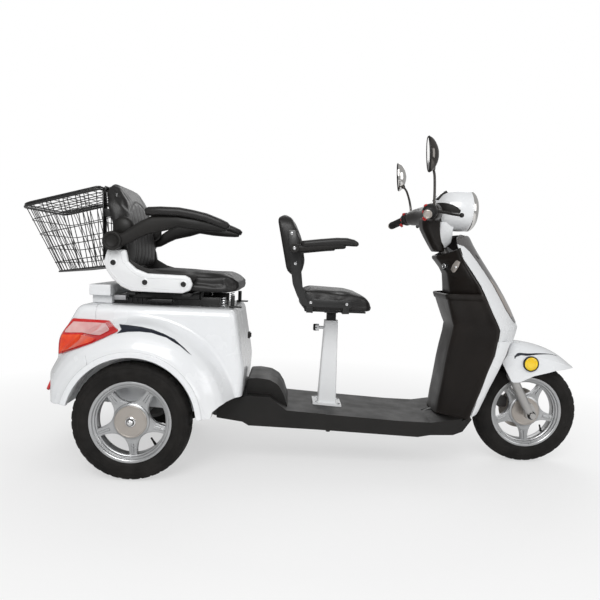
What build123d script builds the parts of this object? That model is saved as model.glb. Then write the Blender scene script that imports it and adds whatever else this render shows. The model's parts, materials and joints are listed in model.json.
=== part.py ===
from build123d import *
import math
import os

# A three-wheeled electric moped with a rider's seat, a child's seat and a wire basket.
# +X is forward, +Y is the rider's left, Z = 0 is the ground. Sizes are millimetres.

# Wheels
TYRE_R = 203
TYRE_HALF_W = 41
BEAD_R = 128
RIM_R = 139.5
AXLE_Z = TYRE_R
REAR_X = -615.5
FRONT_X = 855.5
REAR_Y = 326
SPOKES = 5
STAR_TURN = 130
SPOKE_FACE = 16
HUB_R = 60
PIN_R = 8
PIN_GAP = 0.1
DISC_Y = 42

# Steering: the head tube leans back, and its line meets STEER_X at STEER_Z
STEER_X = 481.5
STEER_Z = 867
RAKE = 26
FORK_Y = 72
STEM_R = 13.9
HEAD_R = 24

# Body
BODY_TOP = 583
BODY_WALL = 6
BODY_HALF_W = 240
BODY_EDGE_R = 28
ARCH_R = 220
WELL_Y = 268
LIP_Y = 370

# Footboard
DECK_HALF_W = 178

# Seats
SEAT_HALF_W = 205
ARM_Y = 250
CHILD_HALF_W = 175
CHILD_ARM_Y = 232
CHILD_ARM_X = -88

UP_STEM = Vector(-math.sin(math.radians(RAKE)), 0, math.cos(math.radians(RAKE)))


def on_stem(z, ahead=0, y=0):
    """The point at height z on the steering line, moved ahead at right angles to it."""
    along = (z - STEER_Z) / UP_STEM.Z
    forward = Vector(UP_STEM.Z, 0, -UP_STEM.X)
    return Vector(STEER_X, y, STEER_Z) + UP_STEM * along + forward * ahead


def outline(points, radius=0):
    """A closed flat outline, its corners rounded by one radius or by a list of them."""
    if radius:
        return make_face(FilletPolyline(*points, radius=radius, close=True))
    return make_face(Polyline(*points, close=True))


def slab(points, y0, y1, radius=0):
    """A side outline of (x, z) points, as thick as from y0 to y1."""
    return Pos(0, y1, 0) * extrude(Plane.XZ * outline(points, radius), y1 - y0)


def from_front(points, x0, x1, radius=0):
    """An outline of (y, z) points, as long as from x0 to x1."""
    return Pos(x0, 0, 0) * extrude(Plane.YZ * outline(points, radius), x1 - x0)


def from_above(points, z0, z1, radius=0):
    """An outline of (x, y) points, as high as from z0 to z1."""
    return Pos(0, 0, z0) * extrude(outline(points, radius), z1 - z0)


def rod(start, end, radius):
    start, end = Vector(start), Vector(end)
    frame = Plane(origin=start, z_dir=end - start)
    return frame * Cylinder(radius, (end - start).length, align=(Align.CENTER, Align.CENTER, Align.MIN))


def pipe(points, radius):
    """Straight rods from point to point, with a ball at each bend."""
    shape = rod(points[0], points[1], radius)
    for here, there in zip(points[1:], points[2:]):
        shape += Pos(*here) * Sphere(radius)
        shape += rod(here, there, radius)
    return shape


def turned(profile):
    """A closed (radius, y) profile turned about the Y axis."""
    return revolve(make_face(Polyline(*profile, close=True)), Axis.Y)


def both_sides(shape):
    return shape + mirror(shape, Plane.XZ)


def loft_up(sections):
    """A straight-sided form through (z, outline points) sections."""
    return loft([Pos(0, 0, z) * outline(points) for z, points in sections], ruled=True)


def box(x, y, z):
    """A box between two places along each axis."""
    size = (x[1] - x[0], y[1] - y[0], z[1] - z[0])
    return Pos(x[0], y[0], z[0]) * Box(*size, align=(Align.MIN, Align.MIN, Align.MIN))


# Wheels, built about the Y axis at the origin

def tyre():
    # Distance from the axle and y, from the bead round to the tread
    half = [(BEAD_R + 0.5, 28.5), (168, TYRE_HALF_W), (TYRE_R, 19)]
    return turned(half + [(r, -y) for r, y in reversed(half)])


def star(tip, half_tip, waist):
    """The outline of the spokes: flat at each tip, and a curve between each two."""
    step = 360 / SPOKES
    edges = []
    for k in range(SPOKES):
        start, end, middle, following = [
            math.radians(STAR_TURN + k * step + turn) for turn in (-half_tip, half_tip, step / 2, step - half_tip)]
        here = (tip * math.cos(end), tip * math.sin(end))
        edges.append(Line((tip * math.cos(start), tip * math.sin(start)), here))
        edges.append(ThreePointArc(here, (waist * math.cos(middle), waist * math.sin(middle)),
                                   (tip * math.cos(following), tip * math.sin(following))))
    return make_face(edges)


def rim(out):
    """A cast rim with a star of spokes; out is +1 or -1, the side that its face looks to."""
    well_r, lip_r = 113, 121
    half = [(well_r, 20), (117, 31), (lip_r, 36), (RIM_R, 36), (RIM_R, 32.5), (BEAD_R - 0.2, 29.2)]
    wheel = turned(half + [(r, -y) for r, y in reversed(half)])
    wheel += Pos(0, SPOKE_FACE / 2 * out, 0) * extrude(Plane.XZ * star(117, 7, 64), SPOKE_FACE / 2, both=True)
    wheel += Rot(90, 0, 0) * Cylinder(36, 56)
    ridge = outline([(40, -7), (114, -2.5), (114, 2.5), (40, 7)])
    for k in range(SPOKES):
        turn = Rot(0, -STAR_TURN - k * 360 / SPOKES, 0)
        wheel += turn * Pos(0, (SPOKE_FACE + 2) * out, 0) * extrude(Plane.XZ * ridge, 4, both=True)
    hub = [(36, 0), (HUB_R, 12), (HUB_R, 22), (HUB_R - 6, 25), (40, 22), (36, 26), (20, 26)]
    wheel += turned([(r, y * out) for r, y in hub] + [(20, 0)])
    return wheel - Rot(90, 0, 0) * Cylinder(PIN_R + PIN_GAP, 90)


def rear_wheel(side):
    place = Pos(REAR_X, side * REAR_Y, AXLE_Z)
    return place * tyre(), place * rim(side)


def front_rim():
    """The front rim carries the brake disc on its left side."""
    carrier = [(PIN_R + 1, 20), (50, 20), (50, DISC_Y - 2), (82, DISC_Y - 2), (82, DISC_Y + 2), (PIN_R + 1, DISC_Y + 2)]
    return Pos(FRONT_X, 0, AXLE_Z) * (rim(-1) + turned(carrier))


# Chassis

DOWN_TUBE = [tuple(on_stem(620, -10)), (545, 0, 400), (530, 0, 200), (440, 0, 162)]
PIVOT_X = -410
PIVOT_Z = 240


def frame_tubes():
    tube_r = 16
    side = [(440, 85, 160), (-270, 85, 168), (-362, 100, 182), (-385, 130, 300), (-780, 130, 330), (-860, 120, 330)]
    frame = both_sides(pipe(side, tube_r))
    for x, z in ((440, 160), (64, 164), (-250, 168)):
        frame += rod((x, -85, z), (x, 85, z), tube_r - 2)
    for x, z in ((-400, 301), (-600, 318), (-850, 330)):
        frame += rod((x, -130, z), (x, 130, z), tube_r - 2)
    for x, z in ((-430, 303), (-700, 324)):
        frame += both_sides(rod((x, 122, z), (x, 122, 572), 12))
        frame += rod((x, -122, 560), (x, 122, 560), 10)
    ear = slab([(-372, 290), (-362, 225), (-400, 222), (-426, 228), (-426, 252), (-400, 290)], 118, 127)
    frame += both_sides(ear)
    frame += rod(on_stem(487), on_stem(785), HEAD_R) + pipe(DOWN_TUBE, 18)
    frame -= rod(on_stem(440), on_stem(830), STEM_R + PIN_GAP)
    return frame - rod((PIVOT_X, -140, PIVOT_Z), (PIVOT_X, 140, PIVOT_Z), 9)


def rear_axle():
    hub_face = REAR_Y + 28
    half = [(72, 34), (56, 52), (24, 60), (24, WELL_Y - 12), (PIN_R, WELL_Y - 12),
            (PIN_R, hub_face + 1.5), (13, hub_face + 1.5), (13, hub_face + 8), (7, hub_face + 13), (0, hub_face + 13)]
    axle = Pos(REAR_X, 0, AXLE_Z) * turned(half + [(r, -y) for r, y in reversed(half)])
    arm_y = 104
    axle += both_sides(rod((REAR_X + 10, arm_y, AXLE_Z + 2), (PIVOT_X, arm_y, PIVOT_Z), 12))
    axle += both_sides(Pos(PIVOT_X, arm_y, PIVOT_Z) * Rot(90, 0, 0) * Cylinder(15, 22))
    return axle + rod((PIVOT_X, -135, PIVOT_Z), (PIVOT_X, 135, PIVOT_Z), 8.9)


def drive_motor():
    return Pos(REAR_X + 134, 0, AXLE_Z + 20) * Rot(90, 0, 0) * Cylinder(56, 170)


def rear_springs():
    """A damper on each side with the coils of its spring, as one turned form."""
    foot, top = Vector(-650, 190, 226), Vector(-690, 190, 400)
    run = top - foot
    coils = 6
    pitch = run.length / (coils + 0.5)
    profile = [(0, 0), (12, 0)]
    for k in range(coils):
        middle = (k + 0.75) * pitch
        profile += [(17, middle - 8), (26, middle), (17, middle + 8)]
    profile += [(12, run.length), (0, run.length)]
    spring = Plane(origin=foot, z_dir=run) * revolve(Plane.XZ * outline(profile), Axis.Z)
    return both_sides(spring)


def battery_pack():
    return box((-560, -300), (-105, 105), (350, 540))


# Rear body: (x, z, corner radius) of its middle part, from the rear foot round over the top
BODY_SIDE = [(-915, 215, 12), (-971, 262, 34), (-914, 366, 90), (-912, 450, 120), (-838, BODY_TOP, 44),
             (-289, BODY_TOP, 32), (-250, 364, 150), (-256, 270, 60), (-262, 218, 6)]
# Under the wheel arches the body ends along this (x, z) line
BODY_HEM = [(-1000, -150), (-1000, 252), (-960, 256), (-930, 272), (-848, 261), (-392, 223), (-262, 218),
            (-200, 218), (-200, -150)]


def body_form(inset):
    """The outer form of the rear body, or the form that lies inset millimetres inside it."""
    side = outline([(x, z) for x, z, r in BODY_SIDE], [r for x, z, r in BODY_SIDE])
    if inset:
        side = offset(side, -inset)
    half_w = BODY_HALF_W - inset
    middle = Pos(0, half_w, 0) * extrude(Plane.XZ * side, 2 * half_w)
    rims = [e for e in middle.edges() if abs(abs(e.center().Y) - half_w) < 0.1 and e.center().Z > 240]
    middle = fillet(rims, BODY_EDGE_R - inset)
    lip, root = ARCH_R + 18 - inset, 326 - inset
    crest = ThreePointArc((lip, LIP_Y - inset), (292 - 0.8 * inset, 334 - 0.6 * inset), (root, half_w - 4))
    section = [Line((0, 200), (0, LIP_Y - inset)), Line((0, LIP_Y - inset), (lip, LIP_Y - inset)), crest,
               Line((root, half_w - 4), (root, 200)), Line((root, 200), (0, 200))]
    flare = Pos(REAR_X, 0, AXLE_Z) * revolve(make_face(section), Axis.Y)
    return middle + both_sides(flare)


def rear_body():
    hem = slab(BODY_HEM, -400, 400)
    outer = body_form(0) - hem
    shell = outer - body_form(BODY_WALL)
    across = Pos(REAR_X, 0, AXLE_Z) * Rot(90, 0, 0)
    well = across * Pos(0, 0, WELL_Y + 60) * Cylinder(ARCH_R + 5, 132)
    well -= across * Pos(0, 0, WELL_Y + 80) * Cylinder(ARCH_R, 160)
    well -= box((REAR_X - 300, REAR_X + 300), (-WELL_Y - 8, -WELL_Y + 8), (-100, 290))
    shell += both_sides(well) & outer
    shell -= both_sides(across * Pos(0, 0, WELL_Y + 80) * Cylinder(ARCH_R, 160))
    shell -= box((-905, -268), (-222, 222), (150, 232))
    deck_room = [(-370, 140), (-370, 232), (-350, 232), (-306, 252), (-238, 268), (-238, 140)]
    return shell - slab(deck_room, -DECK_HALF_W - 3, DECK_HALF_W + 3)


def tail_lamps():
    """Each lamp is a lens that follows the body round its rear corner."""
    lamp = [(-905, 402), (-732, 466), (-676, 503), (-719, 530), (-852, 533), (-905, 470)]
    lens = slab(lamp, 190, 380, [4, 30, 5, 12, 12, 4]) & body_form(-4)
    return both_sides(lens) - body_form(0)


def seat_rails():
    rail = box((-797, -407), (108, 138), (BODY_TOP + 0.5, 596))
    rail += box((-797, -407), (108, 111), (596, 606)) + box((-797, -407), (135, 138), (596, 606))
    tooth_pitch = 18
    for k in range(12):
        x = -700 + k * tooth_pitch
        rail += box((x, x + 8), (138, 143), (586, 604))
    return both_sides(rail)


def seat_plinth():
    side = [(-835, BODY_TOP + 0.5), (-835, 640), (-800, 649), (-745, 649), (-737, 630), (-737, BODY_TOP + 0.5)]
    return slab(side, -95, 95, [0, 8, 8, 6, 6, 0])


# Footboard

def footboard():
    top = [(-350, 225), (-306, 246), (-234, 263), (-156, 260), (-94, 214), (76, 203), (330, 189),
           (444, 187), (500, 196), (560, 205)]
    under = [(546, 165), (524, 148), (448, 141), (396, 131), (22, 146), (-231, 153), (-254, 166), (-349, 179)]
    tray = slab(top + under, -DECK_HALF_W, DECK_HALF_W)
    wall = 6
    hollow = [(-360, 219)] + [(x, z - wall) for x, z in top[1:-1]] + [(545, 196), (520, 120), (-360, 100)]
    tray -= slab(hollow, -DECK_HALF_W + wall, DECK_HALF_W - wall)
    hump = slab([(-246, 240), (-246, 316), (-204, 319), (-160, 313), (-128, 295), (-108, 264), (-90, 213)],
                -120, 120, [0, 12, 60, 40, 30, 30, 0])
    hump -= slab([(-260, 200), (-240, 309), (-204, 312), (-164, 306), (-134, 290), (-116, 262), (-98, 200)], -114, 114)
    tray += hump
    rib_pitch = 26
    for k in range(11):
        x = 150 + k * rib_pitch
        z = 200.5 - (x - 76) * 14 / 254
        tray += box((x, x + 9), (-150, 150), (z - 3, z + 2))
    return tray - pipe(DOWN_TUBE, 21)


def child_seat_post():
    foot = outline([(28, -36), (100, -36), (100, 36), (28, 36)], 6)
    top = outline([(43, -27), (95, -27), (95, 27), (43, 27)], 6)
    post = loft([Pos(0, 0, 210) * foot, Pos(0, 0, 536) * top], ruled=True)
    post += slab([(8, 208.2), (76, 203.6), (120, 201.2), (120, 209), (76, 211.4), (8, 216.5)], -52, 52)
    mast_room = box((69 - 19, 69 + 19), (-19, 19), (230, 600))
    post += rod((20, 0, 505), (52, 0, 505), 6) + rod((8, 0, 505), (22, 0, 505), 14)
    return post - mast_room


# Leg shield: height, ridge x, ridge half width, edge x and edge y
SHIELD_ROWS = [(206, 487, 78, 578, 186), (322, 497, 78, 613, 192), (449, 507, 76, 650, 201),
               (543, 519, 70, 662, 206), (655, 517, 58, 612, 184), (700, 505, 52, 592, 171),
               (738, 492, 46, 570, 155), (795, 455, 42, 536, 135)]
POCKET_ROWS = [(500, 514, 73, 655, 203), (655, 476, 95, 606, 180)]
SKIN = 5


def shield_skin(rows):
    def form(shift):
        return loft_up([(z, [(ridge + shift, -ridge_half), (ridge + shift, ridge_half),
                             (edge + shift, edge_y), (edge + shift, -edge_y)])
                        for z, ridge, ridge_half, edge, edge_y in rows])
    return form(0) - form(SKIN)


def leg_shield():
    shield = shield_skin(SHIELD_ROWS) + shield_skin(POCKET_ROWS)
    z, ridge, ridge_half, edge, edge_y = POCKET_ROWS[-1]
    band = loft_up([(z - 12, [(ridge - 3, -ridge_half), (ridge - 3, ridge_half), (edge - 4, edge_y), (edge - 4, -edge_y)]),
                    (z, [(ridge - 6, -ridge_half), (ridge - 6, ridge_half), (edge - 7, edge_y), (edge - 7, -edge_y)])])
    rim_form = loft_up([(z - 13, [(ridge + 5, -ridge_half), (ridge + 5, ridge_half), (edge + 4, edge_y), (edge + 4, -edge_y)]),
                        (z + 1, [(ridge + 2, -ridge_half), (ridge + 2, ridge_half), (edge + 1, edge_y), (edge + 1, -edge_y)])])
    return shield + (band - rim_form)


# Front cover: height, edge x, edge y, shoulder x, shoulder y, nose x
COVER_ROWS = [(492, 663, 208, 722, 174, 788), (543, 667, 211, 738, 172, 806), (610, 638, 196, 716, 150, 776),
              (700, 598, 177, 668, 130, 721), (791, 542, 142, 610, 104, 656), (846, 518, 122, 578, 84, 620),
              (884, 534, 66, 560, 58, 592)]
# Its lower wings: height, edge x, edge y, shoulder x, shoulder y
WING_ROWS = [(216, 582, 190, 612, 172), (322, 617, 196, 650, 174), (449, 655, 206, 702, 176), (520, 665, 210, 730, 174)]


def hood_form(wall):
    """The outer form of the hood over the steering, or the form moved in by a wall."""
    sections = []
    for z, edge, edge_y, shoulder, shoulder_y, nose in COVER_ROWS:
        back = edge - 40 if wall > 0 else edge
        near, far = (shoulder - wall, shoulder_y - wall), (shoulder - wall, wall - shoulder_y)
        edges = [Line((back, edge_y - wall), near), ThreePointArc(near, (nose - wall, 0), far),
                 Line(far, (back, wall - edge_y)), Line((back, wall - edge_y), (back, edge_y - wall))]
        level = {0: -12, len(COVER_ROWS) - 1: 4}.get(len(sections), 0) if wall > 0 else 0
        sections.append(Pos(0, 0, z + level) * make_face(edges))
    return loft(sections)


def front_cover():
    hood = hood_form(0) - hood_form(SKIN)
    wing = loft_up([(z, [(edge, edge_y), (shoulder, shoulder_y), (shoulder - 6, shoulder_y - 5), (edge, edge_y - 6)])
                    for z, edge, edge_y, shoulder, shoulder_y in WING_ROWS])
    return hood + both_sides(wing)


def front_trim():
    panel = [(540, 866), (592, 886), (645, 813), (722, 703), (778, 610), (795, 565), (757, 561), (735, 573),
             (713, 623), (636, 735), (587, 793), (546, 846)]
    return both_sides(slab(panel, 24, 220) & hood_form(-3)) - hood_form(0)


def wheel_liner():
    back = slab([(604, 226), (632, 400), (632, 471), (628, 471), (628, 400), (600, 226)], -160, 160)
    roof = slab([(628, 467), (765, 534), (781, 498), (785, 499), (768, 540), (628, 471)], -150, 150)
    plan = from_above([(620, -150), (706, -150), (779, -34), (779, 34), (706, 150), (620, 150)], 0, 600)
    return back + (roof & plan) - rod(on_stem(450), on_stem(560), HEAD_R + 2)


# Steering

BAR = [(348, 343, 936), (385, 215, 957), (420, 120, 968), tuple(on_stem(968))]


def front_fork():
    fork = rod(on_stem(470), on_stem(968), STEM_R)
    ahead = Vector(UP_STEM.Z, 0, -UP_STEM.X)
    crown = Plane(origin=on_stem(470), z_dir=UP_STEM, x_dir=ahead)
    plate = outline([(-20, -22), (24, -92), (58, -92), (58, 92), (24, 92), (-20, 22)], 5)
    fork += crown * (Pos(0, 0, -11) * extrude(plate, 22))
    top = on_stem(475, 38, FORK_Y)
    knee = top - UP_STEM * 160
    foot = Vector(FRONT_X, FORK_Y, AXLE_Z)
    leg = rod(top, knee, 14) + rod(knee, foot, 17) + rod(knee - UP_STEM * 2, knee + UP_STEM * 14, 20)
    leg += Pos(*foot) * Rot(90, 0, 0) * Cylinder(20, 26)
    leg += Pos(foot.X, foot.Y + 20, foot.Z) * Rot(90, 0, 0) * Cylinder(11, 14)
    fork += both_sides(leg)
    fork += Pos(FRONT_X, 0, AXLE_Z) * Rot(90, 0, 0) * Cylinder(PIN_R, 2 * FORK_Y + 40)
    return fork - both_sides(pipe(BAR, 11))


def handlebar():
    return both_sides(pipe(BAR, 11))


def handlebar_cover():
    column = loft([Plane(origin=on_stem(836, -10), z_dir=UP_STEM) * RectangleRounded(56, 84, 12),
                   Plane(origin=on_stem(935, -8), z_dir=UP_STEM) * RectangleRounded(66, 110, 12)], ruled=True)
    hood = turned([(0, -170), (20, -170), (34, -150), (36, 0), (34, 150), (20, 170), (0, 170)])
    cover = column + Pos(436, 0, 966) * hood
    return cover - both_sides(pipe(BAR, 11.2)) - rod(on_stem(800), on_stem(1010), STEM_R + 0.2)


# Headlamp housing: x, half width, low z, high z
LAMP_ROWS = [(452, 52, 936, 1012), (480, 74, 916, 1045), (514, 87, 906, 1060), (550, 92, 903, 1065), (580, 88, 905, 1062)]


def lamp_section(x, half_w, low, high):
    return Pos(x, 0, (low + high) / 2) * (Plane.YZ * Ellipse(half_w, (high - low) / 2))


def headlamp_housing():
    shell = loft([lamp_section(*row) for row in LAMP_ROWS], ruled=True)
    shell += loft([Plane(origin=on_stem(858, 26), z_dir=UP_STEM) * RectangleRounded(16, 60, 6),
                   Plane(origin=on_stem(930, 38), z_dir=UP_STEM) * RectangleRounded(30, 100, 6)], ruled=True)
    return shell - handlebar_cover() - rod(on_stem(800), on_stem(1010), STEM_R + 0.2) - handlebar()


def headlamp_ring():
    x, half_w, low, high = LAMP_ROWS[-1]
    ring = loft([lamp_section(x + 0.2, half_w, low, high), lamp_section(x + 18, half_w - 8, low + 10, high - 8)],
                ruled=True)
    return ring - Pos(x + 10, 0, 983) * (Rot(0, 90, 0) * Cylinder(62, 40))


def headlamp_lens():
    x = LAMP_ROWS[-1][0] + 2
    profile = [(0, 0), (61, 0), (60, 12), (54, 26), (40, 38), (20, 43), (0, 44)]
    return Pos(x, 0, 983) * (Rot(0, 90, 0) * revolve(Plane.XZ * outline(profile), Axis.Z))


def hand_grips():
    grip = rod((350, 336, 937), (382, 225, 955.5), 16) - rod(BAR[0], BAR[1], 11)
    return both_sides(grip)


def hand_controls():
    pod = rod((385, 214, 957), (396, 178, 960), 24)
    perch = rod((386, 208, 956), (414, 202, 962), 9)
    lever = pipe([(410, 200, 962), (462, 230, 950), (464, 328, 938)], 5) + Pos(465, 333, 938) * Sphere(8)
    shape = pod + perch + lever
    return both_sides(shape) - handlebar_cover() - both_sides(pipe(BAR, 11.2))


def mirrors():
    stem = pipe([(403, 196, 978), (403, 200, 999), (388, 243, 1087), (364, 272, 1140)], 5)
    face = Plane(origin=(358, 276, 1150), z_dir=(0.97, -0.1, 0.1))
    back = [(0, 56, 36), (5, 58, 38), (14, 50, 31), (20, 34, 20)]
    head = loft([face * (Pos(0, 0, depth) * Rot(0, 0, 12) * Ellipse(long, short)) for depth, long, short in back],
                ruled=True)
    return both_sides(stem + head) - hand_controls()


# Front fender: x, crown height, shoulder height, half width
FENDER_ROWS = [(724, 468, 420, 84), (774, 483, 438, 96), (856, 477, 434, 98), (940, 452, 416, 86),
               (995, 420, 398, 56), (1036, 390, 383, 22)]
# The fender's lower and rear edges in (x, z)
FENDER_EDGE = [(728, 405), (774, 490), (1042, 490), (1042, 384), (941, 382), (849, 359), (795, 332), (767, 331)]
FENDER_WALL = 4


def fender_form(wall):
    sections = []
    for x, crown, shoulder, half_w in FENDER_ROWS:
        crown -= wall
        shoulder -= wall
        half_w -= wall
        edges = [Line((-half_w, 300), (-half_w, shoulder)),
                 ThreePointArc((-half_w, shoulder), (0, crown), (half_w, shoulder)),
                 Line((half_w, shoulder), (half_w, 300)), Line((half_w, 300), (-half_w, 300))]
        sections.append(Pos(x - wall, 0, 0) * (Plane.YZ * make_face(edges)))
    return loft(sections)


def front_fender():
    side = slab(FENDER_EDGE, -120, 120, [12, 0, 0, 4, 60, 60, 12, 12])
    return (fender_form(0) & side) - fender_form(FENDER_WALL) - front_fork()


def fender_reflectors():
    lens = turned([(0, 0), (29, 0), (29, 5), (27, 6), (26, 9), (0, 11)])
    place = Pos(842, FENDER_ROWS[2][3] + 0.8, 404)
    return both_sides(place * lens)


def front_brake():
    """A caliper over the edge of the brake disc, on a bracket from the left fork leg."""
    caliper = box((FRONT_X - 94, FRONT_X - 54), (DISC_Y - 10, DISC_Y + 16), (AXLE_Z + 2, AXLE_Z + 46))
    caliper = chamfer(caliper.edges().filter_by(Axis.Y), 6)
    caliper += box((FRONT_X - 62, FRONT_X - 20), (DISC_Y + 8, DISC_Y + 16), (AXLE_Z + 8, AXLE_Z + 42))
    slot = Pos(FRONT_X, DISC_Y, AXLE_Z) * Rot(90, 0, 0) * Cylinder(88, 10)
    return caliper - slot - front_fork()


# Rider's seat

CHEEK = [(-745, 766), (-757, 730), (-727, 682), (-672, 642), (-600, 632), (-472, 636), (-446, 669),
         (-474, 695), (-576, 694), (-644, 716), (-681, 757)]
CHEEK_ROUND = [10, 24, 50, 50, 40, 20, 12, 12, 60, 50, 10]


def seat_frame():
    """Two side brackets with a raised rim, the pan's bars, the back's posts and the arms' pivots."""
    plate = outline(CHEEK, CHEEK_ROUND)
    rim_face = plate - offset(plate, -8)
    cheek = Pos(0, 221, 0) * extrude(Plane.XZ * plate, 7) + Pos(0, 224, 0) * extrude(Plane.XZ * rim_face, 10)
    frame = both_sides(cheek)
    frame += both_sides(box((-735, -430), (113, 133), (600, 628)))
    for x in (-675, -480):
        frame += box((x, x + 30), (-221, 221), (622, 633.5))
        frame += both_sides(box((x, x + 30), (214, 221), (622, 660)))
    frame += both_sides(box((-737, -727), (150, 170), (700, 980)))
    frame += rod((-732, -214, 740), (-732, 214, 740), 9)
    frame += both_sides(box((-732, -698), (208, 216), (745, 824)))
    frame += both_sides(rod((-715, 208, 808), (-715, ARM_Y + 12, 808), PIN_R))
    return frame


def pillow(side, side_round, plan, plan_round):
    """A soft block: a side outline and the outline seen from above, both with round corners."""
    xs = [x for x, z in side]
    zs = [z for x, z in side]
    half_w = max(y for x, y in plan)
    return slab(side, -half_w, half_w, side_round) & from_above(plan, min(zs) - 1, max(zs) + 1, plan_round)


def seat_cushion():
    side = [(-690, 634), (-690, 700), (-545, 716), (-458, 711), (-305, 707), (-258, 675), (-286, 640), (-330, 634)]
    plan = [(-691, -SEAT_HALF_W), (-257, -SEAT_HALF_W), (-257, SEAT_HALF_W), (-691, SEAT_HALF_W)]
    return pillow(side, [10, 24, 60, 60, 40, 20, 12, 10], plan, [20, 70, 70, 20])


def seat_backrest():
    side = [(-668, 745), (-672, 790), (-690, 900), (-712, 990), (-735, 1028), (-757, 1010), (-722, 895), (-716, 745)]
    front = [(-SEAT_HALF_W, 744), (SEAT_HALF_W, 744), (SEAT_HALF_W, 1028), (-SEAT_HALF_W, 1028)]
    back = slab(side, -SEAT_HALF_W, SEAT_HALF_W, [12, 40, 60, 40, 12, 12, 40, 12])
    return (back & from_front(front, -800, -600, [30, 30, 110, 110])) - seat_frame()


def armrest(side):
    """A padded arm that folds up about its pivot; side is +1 or -1."""
    pad = [(-599, 916), (-550, 930), (-452, 926), (-363, 906), (-313, 877), (-325, 853), (-420, 852), (-560, 870)]
    arm = slab(pad, ARM_Y - 20, ARM_Y + 28, [10, 30, 40, 30, 10, 10, 40, 20])
    tip_half = 15
    plan = [(-610, ARM_Y - 20), (-380, ARM_Y - 20), (-312, ARM_Y - tip_half + 4), (-312, ARM_Y + tip_half + 4),
            (-380, ARM_Y + 28), (-610, ARM_Y + 28)]
    arm &= from_above(plan, 840, 940, [6, 30, 12, 12, 30, 6])
    arm += slab([(-722, 780), (-690, 782), (-560, 872), (-599, 912), (-732, 820)], ARM_Y - 14, ARM_Y + 14, 8)
    arm += rod((-715, ARM_Y - 20, 808), (-715, ARM_Y + 20, 808), 33)
    arm -= rod((-715, 190, 808), (-715, ARM_Y + 12.5, 808), PIN_R + PIN_GAP)
    return arm if side > 0 else mirror(arm, Plane.XZ)


# Basket: (x, z) of the rim's and the floor's ends, seen from the side
RIM_REAR = (-1058.5, 917)
RIM_FRONT = (-776, 993)
FLOOR_REAR = (-942, 688)
FLOOR_FRONT = (-762, 717)
BASKET_HALF_W = 205
FLOOR_HALF_W = 185
WIRE = 4.5
HINGE = (-776, 1002)


def between(start, end, share):
    return start + (end - start) * share


def spaced(count, low, high, wire):
    """The open stretches, as shares from 0 to 1, that are left between equally spaced wires."""
    step = (high - low + wire) / count
    return [(low + k * step, low + (k + 1) * step - wire) for k in range(count)]


def side_point(u, v):
    """A point of the side wall: u from the rear to the front, v from the floor to the rim."""
    return (between(between(FLOOR_REAR[0], FLOOR_FRONT[0], u), between(RIM_REAR[0], RIM_FRONT[0], u), v),
            between(between(FLOOR_REAR[1], FLOOR_FRONT[1], u), between(RIM_REAR[1], RIM_FRONT[1], u), v))


def end_point(u, v, floor, rim):
    """A (y, z) point of the rear or front wall."""
    half_w = between(FLOOR_HALF_W, BASKET_HALF_W, v)
    return (between(-half_w, half_w, u), between(floor[1], rim[1], v))


def window(point, span, level, *ends):
    (u0, u1), (v0, v1) = span, level
    return [point(u0, v0, *ends), point(u1, v0, *ends), point(u1, v1, *ends), point(u0, v1, *ends)]


def tub_form(inset):
    rise = 8 if inset else 0
    rim_y, floor_y = BASKET_HALF_W - inset, FLOOR_HALF_W - inset
    rims = [(RIM_REAR[0] + inset, RIM_REAR[1] + rise), (RIM_FRONT[0] - inset, RIM_FRONT[1] + rise)]
    floors = [(FLOOR_REAR[0] + inset, FLOOR_REAR[1] + inset), (FLOOR_FRONT[0] - inset, FLOOR_FRONT[1] + inset)]
    sections = []
    for ends, half_w in ((floors, floor_y), (rims, rim_y)):
        (x0, z0), (x1, z1) = ends
        corners = [(x0, -half_w, z0), (x0, half_w, z0), (x1, half_w, z1), (x1, -half_w, z1)]
        sections.append(make_face(Polyline(*corners, close=True)))
    return loft(sections, ruled=True)


def basket():
    """A tub of upright wires and level rings, with a bracket that holds it to the seat's back."""
    tub = tub_form(0) - tub_form(WIRE)
    levels = spaced(4, 0.05, 0.93, 0.022)
    holes = []
    for level in levels:
        for span in spaced(9, 0.03, 0.97, 0.022):
            holes.append(slab(window(side_point, span, level), -220, 220))
        for span in spaced(8, 0.03, 0.97, 0.014):
            holes.append(from_front(window(end_point, span, level, FLOOR_REAR, RIM_REAR), -1100, -930))
            holes.append(from_front(window(end_point, span, level, FLOOR_FRONT, RIM_FRONT), -790, -740))
    for x0, x1 in spaced(5, -926, -776, 5):
        for y0, y1 in spaced(8, -172, 172, 5):
            holes.append(box((x0, x1), (y0, y1), (670, 740)))
    tub -= holes
    (low_x, low_z), (high_x, high_z) = side_point(1, 0.12), side_point(1, 0.82)
    strip = [(low_x - WIRE, low_z), (low_x + 3, low_z), (high_x + 3, high_z), (high_x - WIRE, high_z)]
    tub += both_sides(slab(strip, 145, 175))
    for z in (760, 895):
        tub += both_sides(box((-772, -737), (150, 170), (z, z + 28)))
    tub += rod((HINGE[0], -150, HINGE[1]), (HINGE[0], 150, HINGE[1]), 4)
    for y in (-150, 0, 150):
        tub += box((HINGE[0] - 3, HINGE[0] + 3), (y - 5, y + 5), (HINGE[1] - 20, HINGE[1]))
    return tub


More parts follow.
